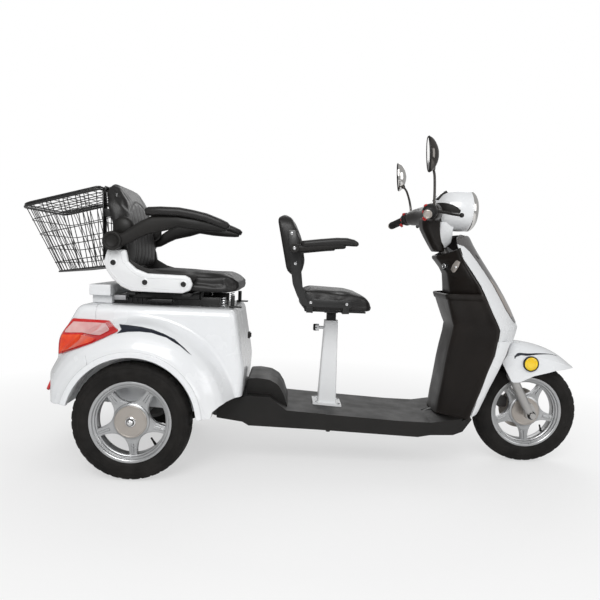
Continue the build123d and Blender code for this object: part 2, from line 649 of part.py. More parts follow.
def basket_lid():
    """A flat frame of wires that turns on the rod along the basket's front rim."""
    slope = math.atan2(RIM_FRONT[1] - RIM_REAR[1], RIM_FRONT[0] - RIM_REAR[0])
    length = math.dist(RIM_REAR, RIM_FRONT)
    plane = Plane(origin=(RIM_REAR[0], 0, RIM_REAR[1]), x_dir=(math.cos(slope), 0, math.sin(slope)),
                  z_dir=(-math.sin(slope), 0, math.cos(slope)))
    lid = box((2, length - 6), (-BASKET_HALF_W, BASKET_HALF_W), (1.5, 6))
    holes = []
    for x0, x1 in spaced(9, 10, length - 16, 5):
        for y0, y1 in spaced(5, 9 - BASKET_HALF_W, BASKET_HALF_W - 9, 5):
            holes.append(box((x0, x1), (y0, y1), (0, 8)))
    lid -= holes
    for y in (-75, 75):
        lid += box((length - 8, length - 1), (y - 20, y + 20), (1.5, 6))
    lid = plane * lid
    for y in (-75, 75):
        lid += rod((HINGE[0], y - 20, HINGE[1]), (HINGE[0], y + 20, HINGE[1]), 7.5)
    return lid - rod((HINGE[0], -200, HINGE[1]), (HINGE[0], 200, HINGE[1]), 4 + PIN_GAP)


# Child's seat

def child_seat_frame():
    """A mast, a seat plate, flat plates up both sides and the arms' pivot rod."""
    frame = box((69 - 18, 69 + 18), (-18, 18), (300, 578))
    frame += box((-40, 190), (-110, 110), (576, 582))
    plate = [(150, 590), (150, 612), (10, 620), (-48, 640), (-72, 690), (-88, 760), (-104, 880), (-128, 880),
             (-112, 760), (-98, 690), (-84, 640), (-62, 598), (-40, 588)]
    frame += both_sides(slab(plate, CHILD_HALF_W + 1, CHILD_HALF_W + 6, [8, 8, 40, 30, 40, 60, 8, 8, 60, 40, 40, 20, 10]))
    for x in (-36, 110):
        frame += box((x, x + 24), (-CHILD_HALF_W - 1, CHILD_HALF_W + 1), (578, 583))
        frame += both_sides(box((x, x + 24), (CHILD_HALF_W + 1, CHILD_HALF_W + 5), (578, 604)))
    frame += rod((CHILD_ARM_X, -CHILD_ARM_Y - 12, 808), (CHILD_ARM_X, CHILD_ARM_Y + 12, 808), PIN_R)
    return frame


def child_cushion():
    side = [(-50, 665), (120, 659), (186, 643), (216, 615), (211, 584), (-47, 584), (-69, 623)]
    plan = [(-70, -CHILD_HALF_W), (217, -CHILD_HALF_W), (217, CHILD_HALF_W), (-70, CHILD_HALF_W)]
    return pillow(side, [16, 60, 40, 14, 10, 10, 24], plan, [16, 60, 60, 16]) - child_seat_frame()


def child_backrest():
    half_w = CHILD_HALF_W - 3
    side = [(-155, 918), (-126, 938), (-98, 926), (-61, 840), (-46, 739), (-60, 709), (-96, 708), (-114, 729)]
    front = [(-half_w, 707), (half_w, 707), (half_w, 938), (-half_w, 938)]
    back = slab(side, -half_w, half_w, [10, 16, 14, 60, 14, 14, 12, 30])
    return (back & from_front(front, -200, 0, [40, 40, 80, 80])) - child_seat_frame()


def child_armrest(side):
    bar = [(-105, 798), (-105, 822), (-63, 835), (98, 853), (138, 847), (142, 834), (88, 820), (-56, 797)]
    arm = slab(bar, CHILD_ARM_Y - 20, CHILD_ARM_Y + 20, [5, 8, 30, 14, 6, 5, 30, 30])
    plan = [(-110, CHILD_ARM_Y - 20), (80, CHILD_ARM_Y - 20), (141, CHILD_ARM_Y - 12), (141, CHILD_ARM_Y + 12),
            (80, CHILD_ARM_Y + 20), (-110, CHILD_ARM_Y + 20)]
    arm &= from_above(plan, 780, 870, [6, 20, 10, 10, 20, 6])
    arm += rod((CHILD_ARM_X, CHILD_ARM_Y - 24, 808), (CHILD_ARM_X, CHILD_ARM_Y + 20, 808), 17)
    arm -= rod((CHILD_ARM_X, 180, 808), (CHILD_ARM_X, CHILD_ARM_Y + 12.5, 808), PIN_R + PIN_GAP)
    return arm if side > 0 else mirror(arm, Plane.XZ)


PIECES = [frame_tubes, rear_axle, drive_motor, rear_springs, battery_pack, rear_body, tail_lamps, seat_rails,
          seat_plinth, footboard, child_seat_post, leg_shield, front_cover, front_trim, wheel_liner, front_rim,
          front_fork, front_brake, handlebar, handlebar_cover, headlamp_housing, headlamp_ring, headlamp_lens,
          hand_grips, hand_controls, mirrors, front_fender, fender_reflectors, seat_frame, seat_cushion,
          seat_backrest, basket, basket_lid, child_seat_frame, child_cushion, child_backrest]


def build():
    nodes = {piece.__name__: piece() for piece in PIECES}
    nodes["front_tyre"] = Pos(FRONT_X, 0, AXLE_Z) * tyre()
    for name, side in (("right", -1), ("left", 1)):
        nodes["rear_tyre_" + name], nodes["rear_rim_" + name] = rear_wheel(side)
        nodes["armrest_" + name] = armrest(side)
        nodes["child_armrest_" + name] = child_armrest(side)
    return nodes


os.makedirs("parts", exist_ok=True)
for node, shape in build().items():
    shape.label = node
    export_step(shape, f"parts/{node}.step")
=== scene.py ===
import json
import math

import bmesh
import bpy
from mathutils import Matrix, Vector

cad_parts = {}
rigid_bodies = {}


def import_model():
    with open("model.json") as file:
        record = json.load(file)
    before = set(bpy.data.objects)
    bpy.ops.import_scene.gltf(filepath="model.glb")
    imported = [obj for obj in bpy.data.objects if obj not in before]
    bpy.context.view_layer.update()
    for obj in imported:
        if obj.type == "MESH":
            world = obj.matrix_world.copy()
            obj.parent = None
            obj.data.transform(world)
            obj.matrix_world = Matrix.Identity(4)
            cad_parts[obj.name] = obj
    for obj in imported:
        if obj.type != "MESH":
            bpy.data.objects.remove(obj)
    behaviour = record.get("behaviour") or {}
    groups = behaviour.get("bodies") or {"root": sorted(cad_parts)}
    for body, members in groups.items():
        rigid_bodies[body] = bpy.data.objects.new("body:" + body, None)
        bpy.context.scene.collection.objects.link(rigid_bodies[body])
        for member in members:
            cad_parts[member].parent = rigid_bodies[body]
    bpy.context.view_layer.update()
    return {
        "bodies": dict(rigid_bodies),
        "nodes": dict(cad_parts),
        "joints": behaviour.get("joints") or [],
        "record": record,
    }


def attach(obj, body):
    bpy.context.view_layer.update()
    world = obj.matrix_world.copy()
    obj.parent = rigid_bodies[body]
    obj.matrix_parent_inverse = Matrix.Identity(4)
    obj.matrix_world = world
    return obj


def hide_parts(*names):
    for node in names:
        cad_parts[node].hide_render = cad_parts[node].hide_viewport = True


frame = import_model()
scene = bpy.context.scene


# Camera and light

CAMERA_AT = (-0.1015, -2.25, 0.7706)
CAMERA_YAW, CAMERA_PITCH, CAMERA_ROLL = 1.146, -4.078, -2.302
CAMERA_LENS, CAMERA_SENSOR = 34.365, 36.0


def make_camera():
    yaw, pitch, roll = (math.radians(a) for a in (CAMERA_YAW, CAMERA_PITCH, CAMERA_ROLL))
    ahead = Vector((math.sin(yaw) * math.cos(pitch), math.cos(yaw) * math.cos(pitch), math.sin(pitch)))
    right = ahead.cross(Vector((0, 0, 1))).normalized()
    up = right.cross(ahead)
    turned_right = right * math.cos(roll) - up * math.sin(roll)
    turned_up = right * math.sin(roll) + up * math.cos(roll)
    data = bpy.data.cameras.new("camera")
    data.lens, data.sensor_width = CAMERA_LENS, CAMERA_SENSOR
    camera = bpy.data.objects.new("camera", data)
    turn = Matrix((turned_right, turned_up, -ahead)).transposed()
    camera.matrix_world = Matrix.Translation(CAMERA_AT) @ turn.to_4x4()
    scene.collection.objects.link(camera)
    scene.camera = camera


# Name, place, what it looks at, size in metres, power in watts
LAMPS = [("key", (-0.5, -3.7, 3.1), (0, 0, 0.5), 2.4, 120), ("fill", (3.4, -2.2, 1.9), (0.3, 0, 0.6), 2.0, 30),
         ("back", (0.6, 3.2, 3.0), (0, 0, 0.6), 3.0, 46)]


def make_lamps():
    for name, place, target, size, power in LAMPS:
        data = bpy.data.lights.new(name, "AREA")
        data.size, data.energy = size, power
        lamp = bpy.data.objects.new(name, data)
        lamp.location = place
        lamp.rotation_euler = (Vector(target) - Vector(place)).to_track_quat("-Z", "Y").to_euler()
        scene.collection.objects.link(lamp)


def add_node(tree, kind, *links, **values):
    """A shader node. A link is a socket and what feeds it; values are constants for its sockets."""
    node = tree.nodes.new("ShaderNode" + kind)
    for key, value in values.items():
        node.inputs[key.replace("_", " ")].default_value = value
    for socket, source in links:
        tree.links.new(source, node.inputs[socket])
    return node


def seen_directly(tree):
    """1 on rays that show the background itself, from the camera or through clear pieces."""
    rays = add_node(tree, "LightPath").outputs
    clear = add_node(tree, "Math", (0, rays["Is Camera Ray"]), (1, rays["Is Transmission Ray"]))
    clear.operation = "MAXIMUM"
    return clear.outputs[0]


def make_world():
    world = bpy.data.worlds.new("studio")
    world.use_nodes = True
    tree = world.node_tree
    background = tree.nodes["Background"]
    background.inputs["Color"].default_value = (1, 1, 1, 1)
    strength = add_node(tree, "MapRange", ("Value", seen_directly(tree)), To_Min=0.42, To_Max=1.0)
    tree.links.new(strength.outputs["Result"], background.inputs["Strength"])
    scene.world = world
    scene.view_settings.view_transform = "Standard"


def make_floor():
    """A pale floor that keeps the shadow near the object and fades into the white background."""
    half = 12
    mesh = bpy.data.meshes.new("floor")
    mesh.from_pydata([(-half, -half, 0), (half, -half, 0), (half, half, 0), (-half, half, 0)], [], [(0, 1, 2, 3)])
    floor = bpy.data.objects.new("floor", mesh)
    scene.collection.objects.link(floor)
    mat = new_shader("floor_white", Base_Color=(0.82, 0.82, 0.82, 1), Roughness=0.7)
    tree = mat.node_tree
    glow = add_node(tree, "Emission", Color=(1, 1, 1, 1))
    reach = add_node(tree, "VectorMath", (0, add_node(tree, "TexCoord").outputs["Object"]))
    reach.operation = "LENGTH"
    fade = add_node(tree, "MapRange", ("Value", reach.outputs["Value"]), From_Min=0.9, From_Max=2.2, To_Min=0.55)
    share = add_node(tree, "Math", (0, fade.outputs["Result"]), (1, seen_directly(tree)))
    share.operation = "MULTIPLY"
    mixed = add_node(tree, "MixShader", ("Fac", share.outputs[0]), (1, tree.nodes["Principled BSDF"].outputs[0]),
                     (2, glow.outputs[0]))
    tree.links.new(mixed.outputs[0], tree.nodes["Material Output"].inputs["Surface"])
    mesh.materials.append(mat)


# Materials: each is a Principled shader with varied colour and roughness and a fine relief

def new_shader(name, **sockets):
    mat = bpy.data.materials.new(name)
    mat.use_nodes = True
    shader = mat.node_tree.nodes["Principled BSDF"]
    for key, value in sockets.items():
        shader.inputs[key.replace("_", " ")].default_value = value
    return mat


def noise(mat, scale, detail=3.0):
    tree = mat.node_tree
    place = add_node(tree, "TexCoord").outputs["Object"]
    return add_node(tree, "TexNoise", ("Vector", place), Scale=scale, Detail=detail).outputs["Fac"]


def cells(mat, scale):
    tree = mat.node_tree
    place = add_node(tree, "TexCoord").outputs["Object"]
    grain = add_node(tree, "TexVoronoi", ("Vector", place), Scale=scale)
    grain.feature = "DISTANCE_TO_EDGE"
    return grain.outputs["Distance"]


def vary(mat, source, socket, low, high, from_low=0.3, from_high=0.7):
    """Lets a socket, a number or a colour, run from low to high with a texture."""
    tree = mat.node_tree
    if isinstance(low, tuple):
        node = add_node(tree, "ValToRGB", ("Fac", source))
        for element, position, colour in zip(node.color_ramp.elements, (from_low, from_high), (low, high)):
            element.position, element.color = position, (*colour, 1)
    else:
        node = add_node(tree, "MapRange", ("Value", source), From_Min=from_low, From_Max=from_high,
                        To_Min=low, To_Max=high)
    tree.links.new(node.outputs[0], tree.nodes["Principled BSDF"].inputs[socket])


def relief(mat, *layers, round_edges=0.0):
    """Bumps in layers of (texture, height in metres), over edges rounded to a radius."""
    tree = mat.node_tree
    normal = None
    if round_edges:
        bevel = add_node(tree, "Bevel", Radius=round_edges)
        bevel.samples = 4
        normal = bevel.outputs["Normal"]
    for source, height in layers:
        under = [("Normal", normal)] if normal else []
        bump = add_node(tree, "Bump", ("Height", source), *under, Strength=1.0, Distance=height)
        normal = bump.outputs["Normal"]
    tree.links.new(normal, tree.nodes["Principled BSDF"].inputs["Normal"])
    return mat


def gloss_paint(name, low, high, roughness=(0.2, 0.3), coat=0.6, edge=0.002):
    mat = new_shader(name, Coat_Weight=coat, Coat_Roughness=0.06, Specular_IOR_Level=0.5)
    vary(mat, noise(mat, 3.0), "Base Color", low, high)
    vary(mat, noise(mat, 11.0), "Roughness", *roughness)
    return relief(mat, (noise(mat, 260.0, 2.0), 0.00002), round_edges=edge)


def moulded_plastic(name, low, high, roughness=(0.42, 0.58)):
    mat = new_shader(name, Specular_IOR_Level=0.32)
    vary(mat, noise(mat, 5.0), "Base Color", low, high)
    vary(mat, noise(mat, 14.0), "Roughness", *roughness)
    return relief(mat, (noise(mat, 1300.0, 2.0), 0.00012), round_edges=0.0015)


def metal(name, low, high, roughness, metallic=1.0):
    mat = new_shader(name, Metallic=metallic)
    vary(mat, noise(mat, 9.0), "Base Color", low, high)
    vary(mat, noise(mat, 40.0), "Roughness", *roughness)
    return relief(mat, (noise(mat, 500.0, 2.0), 0.00003), round_edges=0.001)


def grained_vinyl(name):
    mat = new_shader(name, Specular_IOR_Level=0.4, Coat_Weight=0.05, Coat_Roughness=0.3)
    vary(mat, noise(mat, 6.0), "Base Color", (0.0055, 0.005, 0.0048), (0.010, 0.0092, 0.0088))
    vary(mat, cells(mat, 420.0), "Roughness", 0.52, 0.38, 0.0, 0.2)
    return relief(mat, (cells(mat, 420.0), 0.00022), (noise(mat, 30.0, 4.0), 0.0009))


def tyre_rubber(name):
    mat = new_shader(name, Specular_IOR_Level=0.22)
    vary(mat, noise(mat, 16.0, 5.0), "Base Color", (0.006, 0.0055, 0.005), (0.014, 0.0125, 0.0115))
    vary(mat, noise(mat, 30.0, 4.0), "Roughness", 0.62, 0.85)
    return relief(mat, (noise(mat, 700.0, 3.0), 0.00015))


def lamp_plastic(name, low, high, clear=0.0):
    mat = new_shader(name, Coat_Weight=1.0, Coat_Roughness=0.03, Transmission_Weight=clear, IOR=1.49)
    vary(mat, noise(mat, 22.0), "Base Color", low, high)
    vary(mat, noise(mat, 60.0), "Roughness", 0.06, 0.16)
    return relief(mat, (noise(mat, 90.0, 1.0), 0.0002), round_edges=0.0012)


def clear_glass(name):
    mat = new_shader(name, Base_Color=(0.97, 0.98, 1.0, 1), Transmission_Weight=1.0, IOR=1.45)
    vary(mat, noise(mat, 20.0), "Roughness", 0.0, 0.04)
    return relief(mat, (noise(mat, 60.0, 1.0), 0.00004))


def make_finishes():
    satin = ((0.005, 0.005, 0.005), (0.010, 0.010, 0.010))
    return {
        "white_panel": gloss_paint("white_gloss", (0.74, 0.755, 0.77), (0.78, 0.79, 0.80)),
        "white_metal": gloss_paint("white_enamel", (0.72, 0.73, 0.74), (0.77, 0.78, 0.785), (0.28, 0.38), 0.3, 0.0015),
        "grey_panel": gloss_paint("grey_gloss", (0.040, 0.036, 0.036), (0.062, 0.056, 0.056), (0.12, 0.2), 0.7),
        "black_frame": gloss_paint("black_satin", *satin, (0.3, 0.42), 0.1, 0.001),
        "wire_black": gloss_paint("wire_coating", *satin, (0.3, 0.4), 0.3, 0.0005),
        "axle_metal": gloss_paint("dark_enamel", (0.02, 0.02, 0.02), (0.045, 0.042, 0.04), (0.35, 0.5), 0.1, 0.001),
        "stripe_navy": gloss_paint("stripe_navy", (0.004, 0.006, 0.014), (0.008, 0.011, 0.022), (0.3, 0.4), 0.1, 0),
        "black_plastic": moulded_plastic("black_moulded", (0.006, 0.0055, 0.005), (0.011, 0.010, 0.009)),
        # The brown tint in this black plastic is painted warm reflection, the warm light the leg shield catches, not
        # the plastic's own colour.
        "shield_plastic": moulded_plastic("black_moulded_painted_warm_reflection", (0.0075, 0.0055, 0.0045), (0.014, 0.0105, 0.0085),
                                          (0.3, 0.42)),
        "battery_case": moulded_plastic("battery_plastic", (0.04, 0.04, 0.045), (0.06, 0.06, 0.065)),
        "button_red": moulded_plastic("button_red", (0.42, 0.012, 0.012), (0.52, 0.022, 0.018), (0.35, 0.45)),
        "grip_rubber": moulded_plastic("grip_rubber", (0.006, 0.006, 0.006), (0.012, 0.012, 0.012), (0.6, 0.75)),
        "spring_metal": metal("spring_grey", (0.25, 0.25, 0.26), (0.33, 0.33, 0.34), (0.3, 0.45)),
        "motor_case": metal("cast_alloy", (0.36, 0.36, 0.37), (0.46, 0.46, 0.47), (0.45, 0.6), 0.9),
        "cast_wheel": metal("wheel_silver", (0.40, 0.405, 0.41), (0.50, 0.505, 0.51), (0.26, 0.38), 0.8),
        "fork_silver": metal("fork_silver", (0.42, 0.41, 0.40), (0.52, 0.51, 0.50), (0.3, 0.42), 0.8),
        "brushed_disc": metal("brushed_disc", (0.42, 0.385, 0.35), (0.52, 0.485, 0.45), (0.28, 0.42), 0.9),
        "chrome": metal("chrome", (0.78, 0.79, 0.80), (0.86, 0.86, 0.87), (0.04, 0.1)),
        "chrome_warm": metal("chrome_warm", (0.775, 0.76, 0.737), (0.781, 0.766, 0.743), (0.05, 0.1)),
        "chrome_dark": metal("chrome_dark", (0.09, 0.085, 0.08), (0.16, 0.15, 0.14), (0.06, 0.14)),
        "lamp_red": lamp_plastic("lamp_red", (0.46, 0.004, 0.006), (0.60, 0.010, 0.010)),
        "lamp_amber": lamp_plastic("lamp_amber", (0.86, 0.52, 0.002), (0.95, 0.70, 0.006)),
        "lamp_pink": lamp_plastic("lamp_pink", (0.85, 0.42, 0.42), (0.93, 0.62, 0.60), 0.25),
        "lamp_orange": lamp_plastic("lamp_orange", (0.62, 0.012, 0.004), (0.88, 0.09, 0.008)),
        "lamp_bulb": lamp_plastic("lamp_bulb", (0.75, 0.70, 0.58), (0.85, 0.80, 0.68)),
        "smoked_lens": lamp_plastic("smoked_lens", (0.16, 0.13, 0.11), (0.30, 0.25, 0.21)),
        "clear_lens": clear_glass("clear_glass"),
        "vinyl": grained_vinyl("black_vinyl"),
        "tyre": tyre_rubber("tyre_rubber"),
    }


def dress_nodes(finishes):
    """Gives every CAD node the full finish of the slot that its record names."""
    slots = {row["node"]: row["material_slot"] for row in frame["record"]["subparts"]}
    for name, node in frame["nodes"].items():
        for place in node.material_slots:
            place.material = finishes[slots[name]]


make_camera()
make_lamps()
make_world()
make_floor()
FINISH = make_finishes()
dress_nodes(FINISH)


# Mesh tools. A shape is (points, faces), in millimetres

MM = 0.001
SIDES = ((-1, "right"), (1, "left"))


def joined(*shapes):
    points, faces = [], []
    for shape_points, shape_faces in shapes:
        start = len(points)
        points += shape_points
        faces += [[start + i for i in face] for face in shape_faces]
    return points, faces


def moved(shape, matrix):
    return [tuple(matrix @ Vector(p)) for p in shape[0]], shape[1]


def at(x, y, z, turn_y=0.0, turn_z=0.0, turn_x=0.0):
    """A place, with turns in degrees about Z, Y and X."""
    turns = (Matrix.Rotation(math.radians(a), 4, k) for a, k in ((turn_z, "Z"), (turn_y, "Y"), (turn_x, "X")))
    matrix = Matrix.Translation((x, y, z))
    for turn in turns:
        matrix = matrix @ turn
    return matrix


def mirrored(shape):
    return [(x, -y, z) for x, y, z in shape[0]], [list(reversed(face)) for face in shape[1]]


def both(shape):
    return joined(shape, mirrored(shape))


def skin(rings, loop=False, caps=True):
    """Faces over rings of equally many points; loop joins the last ring to the first."""
    count = len(rings[0])
    points = [tuple(p) for ring in rings for p in ring]
    faces = []
    for k in range(len(rings) if loop else len(rings) - 1):
        a, b = k * count, (k + 1) % len(rings) * count
        for i in range(count):
            j = (i + 1) % count
            faces.append([a + i, a + j, b + j, b + i])
    if caps and not loop:
        faces.append(list(range(count))[::-1])
        faces.append([len(points) - count + i for i in range(count)])
    return points, faces


def turned(profile, steps=64):
    """A (radius, y) profile turned about the Y axis. A profile that starts and ends on the axis is closed."""
    angles = [2 * math.pi * k / steps for k in range(steps)]
    return skin([[(radius * math.cos(a), y, radius * math.sin(a)) for a in angles] for radius, y in profile])


def ring_form(profile, steps=96, alter=None):
    """A closed (radius, y) profile turned about the Y axis. alter(angle, k) gives the radius change of point k."""
    rings = []
    for step in range(steps):
        a = 2 * math.pi * step / steps
        ring = []
        for k, (radius, y) in enumerate(profile):
            radius += alter(a, k) if alter else 0
            ring.append((radius * math.cos(a), y, radius * math.sin(a)))
        rings.append(ring)
    return skin(rings, loop=True)


def rounded(points, radii, steps=6):
    """A closed outline of 2-D points with its corners rounded; radii is a number or a list."""
    if not isinstance(radii, (list, tuple)):
        radii = [radii] * len(points)
    result = []
    for k, (point, radius) in enumerate(zip(points, radii)):
        here = Vector(point)
        before, after = Vector(points[k - 1]) - here, Vector(points[(k + 1) % len(points)]) - here
        if radius <= 0:
            result.append(tuple(here))
            continue
        half = before.angle(after) / 2
        reach = min(radius / math.tan(half), before.length * 0.49, after.length * 0.49)
        start, end = here + before.normalized() * reach, here + after.normalized() * reach
        for step in range(steps + 1):
            t = step / steps
            result.append(tuple((1 - t) ** 2 * start + 2 * t * (1 - t) * here + t ** 2 * end))
    return result


def prism(outline, low, high, axis="Y"):
    """An outline of (x, z), or (y, z) along X, or (x, y) along Z, from low to high."""
    along = {"Y": lambda p, d: (p[0], d, p[1]), "X": lambda p, d: (d, p[0], p[1]), "Z": lambda p, d: (p[0], p[1], d)}
    rings = [[along[axis](p, d) for p in outline] for d in (low, high)]
    return skin(rings)


def block(x, y, z):
    return prism([(x[0], z[0]), (x[1], z[0]), (x[1], z[1]), (x[0], z[1])], *y)


def curve(points, steps=6, closed=False):
    """A smooth path through points."""
    points = [Vector(p) for p in points]
    count = len(points)
    path = []
    for k in range(count if closed else count - 1):
        p0 = points[k - 1] if closed or k else points[0]
        p1, p2 = points[k], points[(k + 1) % count]
        p3 = points[(k + 2) % count] if closed or k + 2 < count else points[-1]
        for step in range(steps):
            t = step / steps
            path.append(0.5 * ((2 * p1) + (p2 - p0) * t + (2 * p0 - 5 * p1 + 4 * p2 - p3) * t ** 2
                               + (3 * p1 - p0 - 3 * p2 + p3) * t ** 3))
    if not closed:
        path.append(points[-1])
    return path


def sweep(path, radius, sides=10, closed=False):
    """A round tube along a path. radius is a number, or a function of the share of the way."""
    path = [Vector(p) for p in path]
    count = len(path)
    normal = None
    rings = []
    for k, point in enumerate(path):
        before = path[k - 1] if closed or k else point
        after = path[(k + 1) % count] if closed or k < count - 1 else point
        tangent = (after - before).normalized()
        if normal is None:
            normal = tangent.orthogonal().normalized()
        normal = (normal - tangent * normal.dot(tangent)).normalized()
        side = tangent.cross(normal)
        r = radius(k / (count - 1)) if callable(radius) else radius
        angles = [2 * math.pi * i / sides for i in range(sides)]
        rings.append([point + (normal * math.cos(a) + side * math.sin(a)) * r for a in angles])
    return skin(rings, loop=closed)


def oval(centre, half_w, half_h, tilt=0.0, power=2.5, count=28):
    """A ring across a path that runs at tilt degrees above the X axis: a rounded rectangle."""
    slope = math.radians(tilt)
    up = Vector((-math.sin(slope), 0, math.cos(slope)))
    ring = []
    for k in range(count):
        a = 2 * math.pi * k / count
        c, s = math.cos(a), math.sin(a)
        w = half_w * math.copysign(abs(c) ** (2 / power), c)
        h = half_h * math.copysign(abs(s) ** (2 / power), s)
        ring.append(Vector(centre) + Vector((0, w, 0)) + up * h)
    return ring


def facing(point, direction):
    """A matrix that puts a form built along Y at a point, with its Y axis along a direction."""
    turn = Vector((0, 1, 0)).rotation_difference(Vector(direction)).to_matrix().to_4x4()
    return Matrix.Translation(point) @ turn


def hex_bolt(radius, height):
    """A bolt head with a washer, standing along Y from 0."""
    washer = turned([(0, 0), (radius * 1.5, 0), (radius * 1.5, height * 0.2), (0, height * 0.2)], 24)
    corners = [math.radians(60 * k) for k in range(6)]
    head = [(radius * 1.15 * math.cos(a), radius * 1.15 * math.sin(a)) for a in corners]
    return joined(washer, prism(head, height * 0.2, height))


def cap_screw(radius, height):
    """A round domed screw head with a socket, standing along Y from 0."""
    profile = [(0, 0), (1, 0), (1, 0.55), (0.85, 0.9), (0.5, 1), (0.42, 0.98), (0.38, 0.5), (0, 0.5)]
    return turned([(radius * r, height * y) for r, y in profile], 24)


def to_mesh(name, shape):
    mesh = bpy.data.meshes.new(name)
    mesh.from_pydata([(x * MM, y * MM, z * MM) for x, y, z in shape[0]], [], shape[1])
    tidy = bmesh.new()
    tidy.from_mesh(mesh)
    bmesh.ops.remove_doubles(tidy, verts=tidy.verts, dist=0.00002)
    bmesh.ops.recalc_face_normals(tidy, faces=tidy.faces)
    tidy.to_mesh(mesh)
    tidy.free()
    return mesh


def loose(name, shape_or_mesh):
    """An object that is only worked on."""
    mesh = to_mesh(name, shape_or_mesh) if isinstance(shape_or_mesh, tuple) else shape_or_mesh
    obj = bpy.data.objects.new(name, mesh)
    scene.collection.objects.link(obj)
    return obj


def bake(obj):
    """Applies an object's modifiers to its mesh."""
    graph = bpy.context.evaluated_depsgraph_get()
    mesh = bpy.data.meshes.new_from_object(obj.evaluated_get(graph))
    obj.modifiers.clear()
    obj.data = mesh
    return obj


def take(obj):
    """The mesh of a worked-on object, which is then removed."""
    mesh = obj.data
    bpy.data.objects.remove(obj)
    return mesh


def remeshed(obj, voxel, smooth=8):
    modifier = obj.modifiers.new("even", "REMESH")
    modifier.mode = "VOXEL"
    modifier.voxel_size = voxel * MM
    if smooth:
        relax = obj.modifiers.new("relax", "SMOOTH")
        relax.factor = 0.5
        relax.iterations = smooth
    return bake(obj)


def cut(obj, tool, operation="DIFFERENCE", keep_tool=False):
    modifier = obj.modifiers.new("cut", "BOOLEAN")
    modifier.operation = operation
    modifier.solver = "MANIFOLD"
    modifier.object = tool
    bake(obj)
    if not keep_tool:
        bpy.data.objects.remove(tool)
    return obj


def swollen(obj, by):
    """A copy of an object, moved out along its normals by some millimetres."""
    copy = loose("swollen", obj.data.copy())
    modifier = copy.modifiers.new("out", "DISPLACE")
    modifier.strength = by * MM
    modifier.mid_level = 0.0
    return bake(copy)


def place(name, form, finish, body, nodes=(), slot="", bevel=0.0, sharp=38.0, levels=0):
    """Adds a piece of the object. form is a shape or a mesh; faces meeting above sharp degrees keep an edge."""
    obj = loose(name, form)
    obj.name = name
    if levels:
        obj.modifiers.new("even", "SUBSURF").levels = levels
        bake(obj)
    if bevel:
        edge = obj.modifiers.new("edge", "BEVEL")
        edge.width = bevel * MM
        edge.segments = 2
        edge.limit_method = "ANGLE"
        edge.angle_limit = math.radians(35)
        bake(obj)
    mesh = obj.data
    mesh.name = name
    mesh.materials.clear()
    mesh.materials.append(FINISH[finish])
    mesh.shade_smooth()
    mesh.set_sharp_from_angle(angle=math.radians(sharp))
    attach(obj, body)
    if nodes:
        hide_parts(*nodes)
    return obj


# Rear body

AXLE_X, FRONT_X, AXLE_Z = -615.5, 855.5, 203.0
REAR_Y = 326
BODY_SIDE = [(-905, 225, 10), (-971, 262, 34), (-914, 366, 90), (-912, 450, 120), (-838, 583, 44),
             (-289, 583, 32), (-250, 364, 150), (-256, 270, 60), (-262, 205, 6)]
BODY_PLAN = [(-985, -90), (-966, -150), (-942, -212), (-892, -330), (-866, -375), (-100, -375)]
BODY_HALF_W, BODY_EDGE = 240, 28
# Radius from the axle and y, from the lip of the arch to the body's side
FLARE = [(219, 367.5), (224, 368), (237, 367.5), (240.5, 365), (242.5, 360), (262, 351), (288, 334), (308, 313),
         (322, 288), (333, 262), (343, 240), (349, 222)]
HEM = [(-1000, -150), (-1000, 246), (-966, 242), (-935, 262), (-872, 256), (-848, 258), (-392, 223), (-350, 220),
       (-345, 243), (-323, 259), (-303, 268), (-230, 274), (-100, 274), (-100, -150)]
CAVITY = [(-952, 100), (-952, 262), (-902, 368), (-898, 448), (-830, 570), (-298, 570), (-259, 366), (-264, 262),
          (-272, 100)]
LAMP = [(-905, 403), (-757, 461), (-669, 505), (-727, 530), (-854, 533), (-905, 470)]
LAMP_CLEAR = [(-882, 482), (-733, 488), (-703, 505), (-733, 521), (-850, 522), (-880, 490)]
LAMP_TURN = [(-899, 411), (-757, 467), (-742, 477), (-780, 480), (-893, 474)]
FRONT_ROOM = [(-370, 140), (-370, 232), (-350, 232), (-306, 252), (-238, 268), (-238, 140)]
STRIPE_TOP = [(-681, 523), (-640, 522), (-600, 519), (-560, 512), (-520, 499), (-483, 482), (-450, 457), (-422, 431)]
STRIPE_LOW = [(-664, 509), (-675, 496), (-640, 503), (-600, 505), (-560, 502), (-510, 488), (-462, 461), (-435, 440),
              (-422, 431)]


def inset_outline(outline, by):
    result = []
    for k, point in enumerate(outline):
        before, after = Vector(outline[k - 1]), Vector(outline[(k + 1) % len(outline)])
        along = (after - before).normalized()
        result.append((point[0] + along.y * by, point[1] - along.x * by))
    return result


def body_solid():
    side = rounded([row[:2] for row in BODY_SIDE], [row[2] for row in BODY_SIDE], 10)
    rings = []
    for k in range(-8, 9):
        a = math.radians(max(abs(k) - 2, 0) * 15)
        y = (BODY_HALF_W - BODY_EDGE + BODY_EDGE * math.sin(a)) if abs(k) > 1 else 100 * abs(k)
        ring = inset_outline(side, BODY_EDGE * (1 - math.cos(a)))
        rings.append([(x, math.copysign(y, k), z) for x, z in ring])
    flare = turned([(0, 150), (349, 150)] + FLARE[::-1] + [(0, 369.5)], 180)
    flare = moved(flare, at(AXLE_X, 0, AXLE_Z))
    solid = loose("body", skin(rings))
    for part in (flare, mirrored(flare)):
        cut(solid, loose("flare", part), "UNION")
    cut(solid, loose("plan", prism(BODY_PLAN + [(x, -y) for x, y in reversed(BODY_PLAN)], 0, 900, "Z")), "INTERSECT")
    return remeshed(solid, 5.0, 10)


def across_axle(radius, y0, y1):
    return moved(turned([(0, y0), (radius, y0), (radius, y1), (0, y1)], 180), at(AXLE_X, 0, AXLE_Z))


